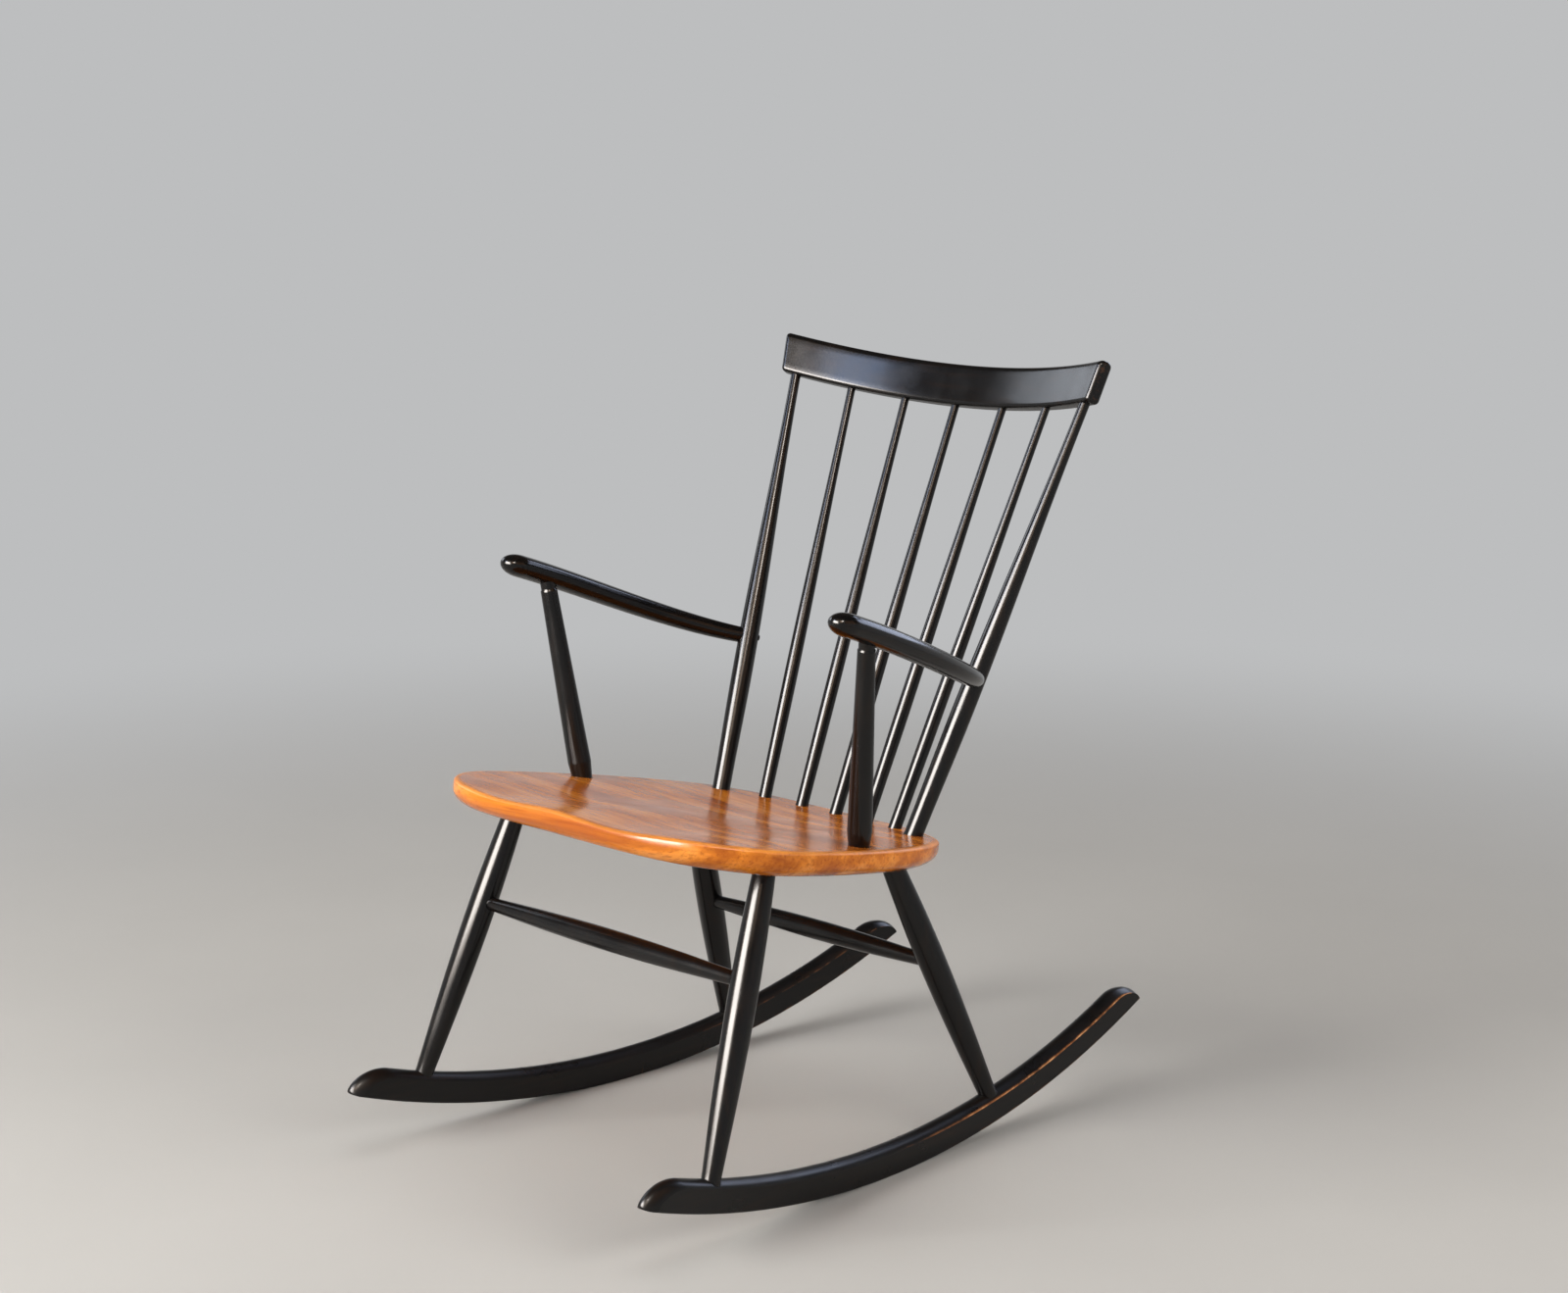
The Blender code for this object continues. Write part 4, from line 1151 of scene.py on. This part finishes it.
def stretcher_member(chair, end):
    """A stretcher between the inner sides of a pair of legs, from right to left."""
    sizes = chair.stretcher
    height, belly = {
        "front": (sizes.front_height, sizes.front_belly),
        "rear": (sizes.rear_height, sizes.rear_belly),
    }[end]
    leg = leg_member(chair, LEFT, end)
    middle = leg.at_height(height)
    half = middle.x - leg.radius_at(middle)
    shape = Turning(sizes.end, belly, STRETCHER_BELLY_SHARE, sizes.end, BARREL)
    return Member(Vector((-half, middle.y, middle.z)), Vector((half, middle.y, middle.z)), shape)


# Back


def crest_point(chair, x, above=0.0, behind=0.0):
    """A point of the crest rail: sideways, above its lower edge at mid-length, and behind its middle."""
    crest = chair.crest
    middle = Vector((0, crest.y, chair.seat.height + crest.rise))
    spindle_foot = seat_point(chair.seat, 0, chair.back.row_y)
    lean = atan2(middle.y - spindle_foot.y, middle.z - spindle_foot.z)
    leaning = Vector((0, cos(lean), -sin(lean)))
    rising = Vector((0, sin(lean), cos(lean)))
    turn = asin(x / crest.bend_radius)
    radius = crest.bend_radius + behind
    aside = Vector((radius * sin(turn), 0, 0))
    return middle + aside + leaning * (radius * cos(turn) - crest.bend_radius) + rising * above


def crest_section(chair, along, inset):
    """Ring of points round the crest rail at a place from -1 to 1 along it, drawn in by an inset."""
    crest = chair.crest
    low = crest.end_lift * along**2
    high = low + crest.depth + (crest.end_depth - crest.depth) * along**2
    corners = [
        (1, high, -1, CREST_TOP_ROUND),
        (-1, high, -1, CREST_TOP_ROUND),
        (-1, low, 1, CREST_BOTTOM_ROUND),
        (1, low, 1, CREST_BOTTOM_ROUND),
    ]
    ring = []
    for quarter, (back, edge, inward, corner_round) in enumerate(corners):
        radius = max(corner_round - inset, SMALLEST)
        behind = back * (crest.thickness / 2 - inset - radius)
        above = edge + inward * (inset + radius)
        for i in range(CREST_CORNER_STEPS + 1):
            a = pi / 2 * (quarter + i / CREST_CORNER_STEPS)
            ring.append(Vector((behind + radius * cos(a), above + radius * sin(a))))
    stops = len(ring) // 4
    filled = []
    for i, point in enumerate(ring):
        filled.append(point)
        if i % stops == stops - 1:
            after = ring[(i + 1) % len(ring)]
            filled += [point.lerp(after, k / CREST_FACE_STEPS) for k in range(1, CREST_FACE_STEPS)]
    widen = tan(crest.end_flare)
    half = crest.half_length
    return [crest_point(chair, along * (half + above * widen), above, behind) for behind, above in filled]


def add_crest_rail(chair, name, material):
    """The bent top rail, flared to the fan of the posts, with eased long edges and ends."""
    full = 1 - CREST_END_ROUND / chair.crest.half_length
    stations = [(full * along, 0.0) for along in spread_evenly(-1, 1, CREST_STATIONS + 1)]
    end = []
    for i in range(1, CREST_END_STEPS + 1):
        a = pi / 2 * i / CREST_END_STEPS
        end.append((full + (1 - full) * sin(a), CREST_END_ROUND * (1 - cos(a))))
    other_end = [(-along, inset) for along, inset in end[::-1]]
    rings = []
    wear = []
    for along, inset in other_end + stations + end:
        ring = crest_section(chair, along, inset)
        rings.append(ring)
        wear.append([CREST_END_WEAR * inset / CREST_END_ROUND] * len(ring))
    return add_object(name, loft(name, rings, wear), material)


def crest_socket_mouth(chair, x):
    """The point of the rail's lower edge where an upright enters it."""
    crest = chair.crest
    return crest_point(chair, x, crest.end_lift * (x / crest.half_length) ** 2)


def post_member(chair, side):
    back = chair.back
    shape = Turning(back.post_foot, back.post_belly, back.post_belly_share, back.post_head, DRAWN_OUT)
    foot = seat_point(chair.seat, side * back.post_at[0], back.post_at[1])
    return Member(foot, crest_socket_mouth(chair, side * back.post_top_x), shape)


def spindle_member(chair, number):
    """A spindle, by its place in the row counted from the middle one."""
    back = chair.back
    shape = Turning(
        back.spindle_foot, back.spindle_belly, back.spindle_belly_share, back.spindle_head, DRAWN_OUT
    )
    x = number * back.spindle_foot_pitch
    y = back.row_y - back.row_radius + sqrt(back.row_radius**2 - x**2)
    head = crest_socket_mouth(chair, number * back.spindle_top_pitch)
    return Member(seat_point(chair.seat, x, y), head, shape)


def uprights(chair):
    """Every post and spindle, with the depths of its sockets in the seat and the crest rail."""
    posts = [(post_member(chair, side), POST_SEAT_SOCKET, POST_CREST_SOCKET) for side in SIDES.values()]
    spindles = [
        (spindle_member(chair, number), SPINDLE_SOCKET, SPINDLE_SOCKET) for number in SPINDLES.values()
    ]
    return posts + spindles


# Arms


def arm_line(chair, side):
    """Control points of an arm's middle line, from its nose to the axis of its back post."""
    arm = chair.arm
    height = chair.seat.height
    points = [
        Vector((side * x, y, height + rise)) for x, y, rise in (arm.tip, arm.front_bend, arm.rear_bend)
    ]
    return points + [post_member(chair, side).at_height(height + arm.rear_rise)]


def arm_frame(line, along):
    """Point, run, sideways and upward directions at a share of an arm's line."""
    points = line
    while len(points) > 2:
        points = [start.lerp(end, along) for start, end in zip(points, points[1:])]
    run = (points[1] - points[0]).normalized()
    sideways = run.cross(UP).normalized()
    return points[0].lerp(points[1], along), run, sideways, sideways.cross(run)


def arm_section(arm, along):
    """Width and thickness of an arm, which narrows from its nose to its round rear end."""
    ease = along**ARM_TAPER_POWER
    return arm.width + (arm.rear - arm.width) * ease, arm.thickness + (arm.rear - arm.thickness) * ease


def add_arm(chair, name, side, material):
    """An oval arm with a round nose, coped over its back post."""
    arm = chair.arm
    line = arm_line(chair, side)
    nose = ARM_NOSE_LENGTH / (3 * (line[1] - line[0]).length)
    stations = []
    for i in range(ARM_NOSE_RINGS):
        a = pi / 2 * (1 - i / ARM_NOSE_RINGS)
        stations.append((nose * (1 - sin(a)), max(cos(a), ARM_TIP_SHARE)))
    stations += [(along, 1.0) for along in spread_evenly(nose, 1.0, ARM_RINGS + 1)]
    turns = [2 * pi * i / ARM_SIDES for i in range(ARM_SIDES)]
    rings = []
    for along, size in stations:
        point, _, sideways, up = arm_frame(line, along)
        width, thickness = arm_section(arm, along)
        offsets = [sideways * (width / 2 * cos(a)) + up * (thickness / 2 * sin(a)) for a in turns]
        rings.append([point + offset * size for offset in offsets])
    return add_object(name, loft(name, rings), material)


def arm_post_member(chair, side):
    """An arm post, from the seat to its shoulder under the arm, and its reach to the arm's middle."""
    arm = chair.arm
    point, _, sideways, up = arm_frame(arm_line(chair, side), arm.post_share)
    inward = sideways * (-1 if sideways.x * side > 0 else 1)
    target = point + inward * arm.post_inset
    foot = seat_point(chair.seat, side * arm.post_at[0], arm.post_at[1])
    axis = (target - foot).normalized()
    under = arm_section(arm, arm.post_share)[1] / 2 / axis.dot(up)
    shape = Turning(arm.post_foot, arm.post_belly, arm.post_belly_share, arm.post_head, STRAIGHT)
    return Member(foot, target - axis * (under + arm.neck_length), shape), under


def arm_post_steps(arm, under):
    return [(arm.post_foot, ARM_POST_SOCKET)], [(arm.neck, arm.neck_length + under)]


def arm_screw_seat(chair, side):
    """Where an arm screw's head bears on the back post, its direction, and the post's radius there."""
    line = arm_line(chair, side)
    inward = -arm_frame(line, 1)[1]
    radius = post_member(chair, side).radius_at(line[-1])
    return line[-1] - inward * (radius - SCREW_SPOT_FACE), inward, radius


def arm_screw_reach(radius):
    """From the bearing face of an arm screw to its tip in the arm, through a post of that radius."""
    return 2 * radius - SCREW_SPOT_FACE + SCREW_BITE


def add_arm_screw(chair, name, side, material):
    """A slotted dome-head screw through the back post into the arm's rear end."""
    arm = chair.arm
    face, inward, radius = arm_screw_seat(chair, side)
    shank = arm_screw_reach(radius)
    head = arm.screw_head / 2
    profile = [(arm.screw_shank / 2, shank), (arm.screw_shank / 2, -CLEARANCE)]
    for i in range(DOME_STEPS):
        a = pi / 2 * i / DOME_STEPS
        profile.append((head * cos(a), -CLEARANCE - SCREW_HEAD_HEIGHT * sin(a)))
    first, second = across_axes(inward)
    turns = [2 * pi * i / SCREW_SIDES for i in range(SCREW_SIDES)]
    rings = []
    for ring_radius, along in profile:
        circle = [first * (ring_radius * cos(a)) + second * (ring_radius * sin(a)) for a in turns]
        rings.append([face + inward * along + offset for offset in circle])
    screw = add_object(name, loft(name, rings), material)
    crown = face - inward * (CLEARANCE + SCREW_HEAD_HEIGHT)
    corners = [(-1, -1), (1, -1), (1, 1), (-1, 1)]
    blade = []
    for along in (-SCREW_SLOT_DEPTH, SCREW_SLOT_DEPTH):
        offsets = [first * (x * SCREW_SLOT_WIDTH / 2) + second * (y * arm.screw_head) for x, y in corners]
        blade.append([crown + inward * along + offset for offset in offsets])
    cut(screw, add_object(name + "_slot", loft("slot", blade)))
    return screw


# Operators


class ROCKINGCHAIR_OT_add_seat(Operator):
    """Makes the saddled teak seat with its sockets"""

    bl_idname = "rocking_chair.add_seat"
    bl_label = "Add seat"

    def execute(self, context):
        chair = context.scene.rocking_chair
        sizes = chair.seat
        seat = add_seat(sizes, "teak_seat", oiled_teak(chair.finish, sizes.slope))
        for side in SIDES.values():
            for end in ENDS:
                member = leg_member(chair, side, end)
                steps = eased(leg_head_steps(chair.leg))
                bore(seat, member.head, member.axis(), steps, sizes.thickness)
            member, under = arm_post_member(chair, side)
            steps = eased(arm_post_steps(chair.arm, under)[0])
            bore(seat, member.foot, -member.axis(), steps, sizes.thickness)
        for member, seat_socket, _ in uprights(chair):
            steps = eased([(member.shape.foot, seat_socket)])
            bore(seat, member.foot, -member.axis(), steps, sizes.thickness)
        hand_over(seat, "seat")
        return {"FINISHED"}


class ROCKINGCHAIR_OT_add_rockers(Operator):
    """Makes both rockers with their leg housings"""

    bl_idname = "rocking_chair.add_rockers"
    bl_label = "Add rockers"

    def execute(self, context):
        chair = context.scene.rocking_chair
        material = black_lacquer(chair.finish, SAWN_LACQUER)
        for name, side in SIDES.items():
            rocker = add_rocker(chair.rocker, f"{name}_runner", side, material)
            for end in ENDS:
                member = leg_member(chair, side, end)
                steps = eased(leg_foot_steps(chair.leg))
                bore(rocker, member.foot, -member.axis(), steps, chair.rocker.height)
            hand_over(rocker, f"{name}_rocker")
        return {"FINISHED"}


class ROCKINGCHAIR_OT_add_legs(Operator):
    """Turns the four legs and bores them for the stretchers"""

    bl_idname = "rocking_chair.add_legs"
    bl_label = "Add legs"

    def execute(self, context):
        chair = context.scene.rocking_chair
        material = black_lacquer(chair.finish, TURNED_LACQUER)
        for end in ENDS:
            stretcher = stretcher_member(chair, end)
            steps = eased([(chair.stretcher.end, STRETCHER_SOCKET)])
            for name, side in SIDES.items():
                member = leg_member(chair, side, end)
                leg = add_turned(
                    f"turned_{end}_{name}_leg",
                    member,
                    leg_foot_steps(chair.leg),
                    leg_head_steps(chair.leg),
                    material,
                )
                mouth = stretcher.head if side == LEFT else stretcher.foot
                bore(leg, mouth, stretcher.axis() * side, steps, chair.leg.belly)
                hand_over(leg, f"{end}_{name}_leg")
        return {"FINISHED"}


class ROCKINGCHAIR_OT_add_stretchers(Operator):
    """Turns the front and rear stretchers"""

    bl_idname = "rocking_chair.add_stretchers"
    bl_label = "Add stretchers"

    def execute(self, context):
        chair = context.scene.rocking_chair
        material = black_lacquer(chair.finish, TURNED_LACQUER)
        steps = [(chair.stretcher.end, STRETCHER_SOCKET)]
        for end in ENDS:
            member = stretcher_member(chair, end)
            stretcher = add_turned(f"turned_{end}_stretcher", member, steps, steps, material)
            hand_over(stretcher, f"{end}_stretcher")
        return {"FINISHED"}


class ROCKINGCHAIR_OT_add_back_posts(Operator):
    """Turns the two back posts and bores them for the arm screws"""

    bl_idname = "rocking_chair.add_back_posts"
    bl_label = "Add back posts"

    def execute(self, context):
        chair = context.scene.rocking_chair
        material = black_lacquer(chair.finish, TURNED_LACQUER)
        for name, side in SIDES.items():
            member = post_member(chair, side)
            foot_steps = [(member.shape.foot, POST_SEAT_SOCKET)]
            head_steps = [(member.shape.head, POST_CREST_SOCKET)]
            post = add_turned(f"turned_{name}_back_post", member, foot_steps, head_steps, material)
            face, inward, radius = arm_screw_seat(chair, side)
            spot_face = (chair.arm.screw_head + 2 * CLEARANCE, 0)
            right_through = 3 * radius
            shank_hole = (chair.arm.screw_shank + 2 * CLEARANCE, right_through)
            bore(post, face, inward, [spot_face, shank_hole], chair.arm.screw_head)
            hand_over(post, f"{name}_back_post")
        return {"FINISHED"}


class ROCKINGCHAIR_OT_add_spindles(Operator):
    """Turns the row of back spindles"""

    bl_idname = "rocking_chair.add_spindles"
    bl_label = "Add spindles"

    def execute(self, context):
        chair = context.scene.rocking_chair
        material = black_lacquer(chair.finish, TURNED_LACQUER)
        for node, number in SPINDLES.items():
            member = spindle_member(chair, number)
            foot_steps = [(member.shape.foot, SPINDLE_SOCKET)]
            head_steps = [(member.shape.head, SPINDLE_SOCKET)]
            spindle = add_turned("turned_" + node, member, foot_steps, head_steps, material)
            hand_over(spindle, node)
        return {"FINISHED"}


class ROCKINGCHAIR_OT_add_crest_rail(Operator):
    """Makes the bent crest rail with its sockets"""

    bl_idname = "rocking_chair.add_crest_rail"
    bl_label = "Add crest rail"

    def execute(self, context):
        chair = context.scene.rocking_chair
        crest = add_crest_rail(chair, "bent_crest_rail", black_lacquer(chair.finish, RUBBED_LACQUER))
        for member, _, crest_socket in uprights(chair):
            steps = eased([(member.shape.head, crest_socket)])
            bore(crest, member.head, member.axis(), steps, chair.crest.thickness)
        hand_over(crest, "crest_rail")
        return {"FINISHED"}


class ROCKINGCHAIR_OT_add_arms(Operator):
    """Makes the shaped arms, coped to the back posts and bored for their posts and screws"""

    bl_idname = "rocking_chair.add_arms"
    bl_label = "Add arms"

    def execute(self, context):
        chair = context.scene.rocking_chair
        sizes = chair.arm
        material = black_lacquer(chair.finish, SHAPED_LACQUER)
        for name, side in SIDES.items():
            arm = add_arm(chair, f"shaped_{name}_arm", side, material)
            back_post = post_member(chair, side)
            rear = arm_line(chair, side)[-1]
            cope = 2 * (back_post.radius_at(rear) + CLEARANCE)
            bore(arm, rear, back_post.axis(), [(cope, sizes.width)], sizes.width)
            arm_post, under = arm_post_member(chair, side)
            steps = eased(arm_post_steps(sizes, under)[1])
            bore(arm, arm_post.head, arm_post.axis(), steps, sizes.neck_length)
            face, inward, radius = arm_screw_seat(chair, side)
            depth = arm_screw_reach(radius) + CLEARANCE
            bore(arm, face, inward, [(sizes.screw_shank + 2 * CLEARANCE, depth)], sizes.screw_head)
            hand_over(arm, f"{name}_arm")
        return {"FINISHED"}


class ROCKINGCHAIR_OT_add_arm_posts(Operator):
    """Turns the arm posts"""

    bl_idname = "rocking_chair.add_arm_posts"
    bl_label = "Add arm posts"

    def execute(self, context):
        chair = context.scene.rocking_chair
        material = black_lacquer(chair.finish, TURNED_LACQUER)
        for name, side in SIDES.items():
            member, under = arm_post_member(chair, side)
            foot_steps, head_steps = arm_post_steps(chair.arm, under)
            post = add_turned(
                f"turned_{name}_arm_post", member, foot_steps, head_steps, material, FINE_RING_SPACING
            )
            hand_over(post, f"{name}_arm_post")
        return {"FINISHED"}


class ROCKINGCHAIR_OT_add_arm_screws(Operator):
    """Makes the slotted screws that hold the arms to the back posts"""

    bl_idname = "rocking_chair.add_arm_screws"
    bl_label = "Add arm screws"

    def execute(self, context):
        chair = context.scene.rocking_chair
        material = blackened_steel(chair.finish)
        for name, side in SIDES.items():
            screw = add_arm_screw(chair, f"slotted_{name}_arm_screw", side, material)
            hand_over(screw, f"{name}_arm_screw")
        return {"FINISHED"}


# Stage


class Softbox(NamedTuple):
    """A flat soft lamp that the camera doesn't see, and that lights either the matt or the gloss alone."""

    place: tuple
    aim: tuple
    size: tuple
    power: float
    hex_colour: str
    lights: str


SOFTBOXES = {
    "window_front": Softbox((-0.2, -2.75, 1.55), (0, 0, 0.6), (1.9, 1.55), 340.0, "#fffaf5", "gloss"),
    "window_halo": Softbox((-0.2, -2.8, 1.45), (0, 0, 0.6), (2.8, 1.8), 120.0, "#fff0e2", "gloss"),
    "window_left": Softbox((-1.5, -3.7, 3.1), (0, 0.3, 0.85), (1.2, 1.5), 60.0, "#b8d2ff", "gloss"),
    "window_far_left": Softbox((-3.5, -0.35, 2.0), (0, 0.3, 0.85), (1.8, 1.2), 27.0, "#e6edf8", "gloss"),
    "window_behind": Softbox((0.15, 3.3, 2.0), (0, -0.1, 0.64), (2.4, 1.25), 48.0, "#d0dbf6", "gloss"),
    "upper_front": Softbox((0.1, -2.4, 3.1), (0, 0.1, 0.7), (2.4, 1.4), 13.0, "#ecd3bb", "gloss"),
    "warm_strip": Softbox((1.75, -2.0, 2.4), (0, 0.1, 0.7), (0.9, 1.3), 24.0, "#ffd9b8", "gloss"),
    "lamp_right": Softbox((2.06, -1.56, 2.92), (0.28, -0.17, 0.66), (0.62, 0.62), 62.0, "#fff6ec", "gloss"),
    "warm_side": Softbox((3.2, 0.3, 2.6), (0, 0, 0.5), (3.6, 2.0), 14.0, "#ffc08f", "gloss"),
    "front_fill": Softbox((-1.3, -4.0, 1.8), (0, 0, 0.4), (2.7, 2.1), 360.0, "#fffdf8", "matt"),
    "overhead_fill": Softbox((-0.2, 0.0, 3.8), (0, 0, 0.3), (3.0, 3.0), 52.0, "#ffffff", "matt"),
    "side_fill": Softbox((3.0, 0.6, 1.6), (0, 0, 0.4), (2.0, 2.0), 78.0, "#fffbf5", "matt"),
}

# Light of the room: the backdrop's colour low down and dim above, by the sine of the angle over the horizon
DIM_COLOUR = "#4a4643"
WALL_FULL = 0.22
WALL_NONE = 0.42

# Floor: its half width, the tone of its clouds, and where it fades to the backdrop
FLOOR_REACH = 60.0
CLOUD_SHADE = 0.92
FLOOR_NEAR = 0.9
FLOOR_FAR = 3.2


def add_floor(finish):
    turns = ((-1, -1), (1, -1), (1, 1), (-1, 1))
    corners = [(x * FLOOR_REACH, y * FLOOR_REACH, 0) for x, y in turns]
    mesh = bpy.data.meshes.new("floor")
    mesh.from_pydata(corners, [], [(0, 1, 2, 3)])
    add_object("floor", mesh, painted_concrete(finish))


def add_softbox(scene, name, box):
    lamp = bpy.data.lights.new(name, "AREA")
    lamp.shape = "RECTANGLE"
    lamp.size, lamp.size_y = box.size
    lamp.energy = box.power
    lamp.color = linear(box.hex_colour)
    obj = bpy.data.objects.new(name, lamp)
    obj.location = box.place
    obj.rotation_euler = (Vector(box.aim) - Vector(box.place)).to_track_quat("-Z", "Y").to_euler()
    obj.visible_camera = False
    obj.visible_diffuse = box.lights == "matt"
    obj.visible_glossy = box.lights == "gloss"
    scene.collection.objects.link(obj)


def room_light(finish):
    """A dim world with a pale low wall all round."""
    world = bpy.data.worlds.new("room_light")
    world.use_nodes = True
    tree = world.node_tree
    direction = add_node(tree, "ShaderNodeTexCoord", output="Generated")
    height = add_node(
        tree,
        "ShaderNodeVectorMath",
        {"operation": "DOT_PRODUCT"},
        {"Vector": direction, "Vector_001": UP},
        output="Value",
    )
    low = add_node(
        tree, "ShaderNodeMapRange", None, {"Value": height, "From Min": WALL_NONE, "From Max": WALL_FULL}
    )
    colour = add_node(
        tree,
        "ShaderNodeMix",
        {"data_type": "RGBA"},
        {"Factor_Float": low, "A_Color": opaque(linear(DIM_COLOUR)), "B_Color": opaque(finish.backdrop)},
        output=2,
    )
    tree.links.new(colour, tree.nodes["Background"].inputs["Color"])
    return world


class ROCKINGCHAIR_OT_add_stage(Operator):
    """Makes the pale floor, the soft lamps, the room's light and the camera"""

    bl_idname = "rocking_chair.add_stage"
    bl_label = "Add stage"

    def execute(self, context):
        scene = context.scene
        add_floor(scene.rocking_chair.finish)
        for name, box in SOFTBOXES.items():
            add_softbox(scene, name, box)
        scene.world = room_light(scene.rocking_chair.finish)
        camera = bpy.data.objects.new("camera", bpy.data.cameras.new("camera"))
        camera.data.sensor_width = SENSOR_WIDTH
        camera.data.lens = CAMERA_LENS
        camera.location = CAMERA_PLACE
        camera.rotation_euler = (pi / 2 - CAMERA_ELEVATION, 0, CAMERA_AZIMUTH)
        scene.collection.objects.link(camera)
        scene.camera = camera
        scene.view_settings.view_transform = "Standard"
        return {"FINISHED"}


class ROCKINGCHAIR_PT_pieces(Panel):
    """Lists the chair's pieces in the sidebar"""

    bl_idname = "ROCKINGCHAIR_PT_pieces"
    bl_label = "Rocking chair"
    bl_space_type = "VIEW_3D"
    bl_region_type = "UI"
    bl_category = "Rocking chair"

    def draw(self, context):
        for operator in OPERATORS:
            self.layout.operator(operator.bl_idname)


OPERATORS = (
    ROCKINGCHAIR_OT_add_seat,
    ROCKINGCHAIR_OT_add_rockers,
    ROCKINGCHAIR_OT_add_legs,
    ROCKINGCHAIR_OT_add_stretchers,
    ROCKINGCHAIR_OT_add_back_posts,
    ROCKINGCHAIR_OT_add_spindles,
    ROCKINGCHAIR_OT_add_crest_rail,
    ROCKINGCHAIR_OT_add_arms,
    ROCKINGCHAIR_OT_add_arm_posts,
    ROCKINGCHAIR_OT_add_arm_screws,
    ROCKINGCHAIR_OT_add_stage,
)
PROPERTY_GROUPS = (
    RockerSizes,
    SeatSizes,
    LegSizes,
    StretcherSizes,
    BackSizes,
    CrestSizes,
    ArmSizes,
    FinishColours,
    ChairSettings,
)
CLASSES = PROPERTY_GROUPS + OPERATORS + (ROCKINGCHAIR_PT_pieces,)


def register():
    for cls in CLASSES:
        bpy.utils.register_class(cls)
    bpy.types.Scene.rocking_chair = PointerProperty(type=ChairSettings)


def unregister():
    del bpy.types.Scene.rocking_chair
    for cls in reversed(CLASSES):
        bpy.utils.unregister_class(cls)


def main():
    register()
    for operator in OPERATORS:
        group, action = operator.bl_idname.split(".")
        getattr(getattr(bpy.ops, group), action)()


if __name__ == "__main__":
    main()
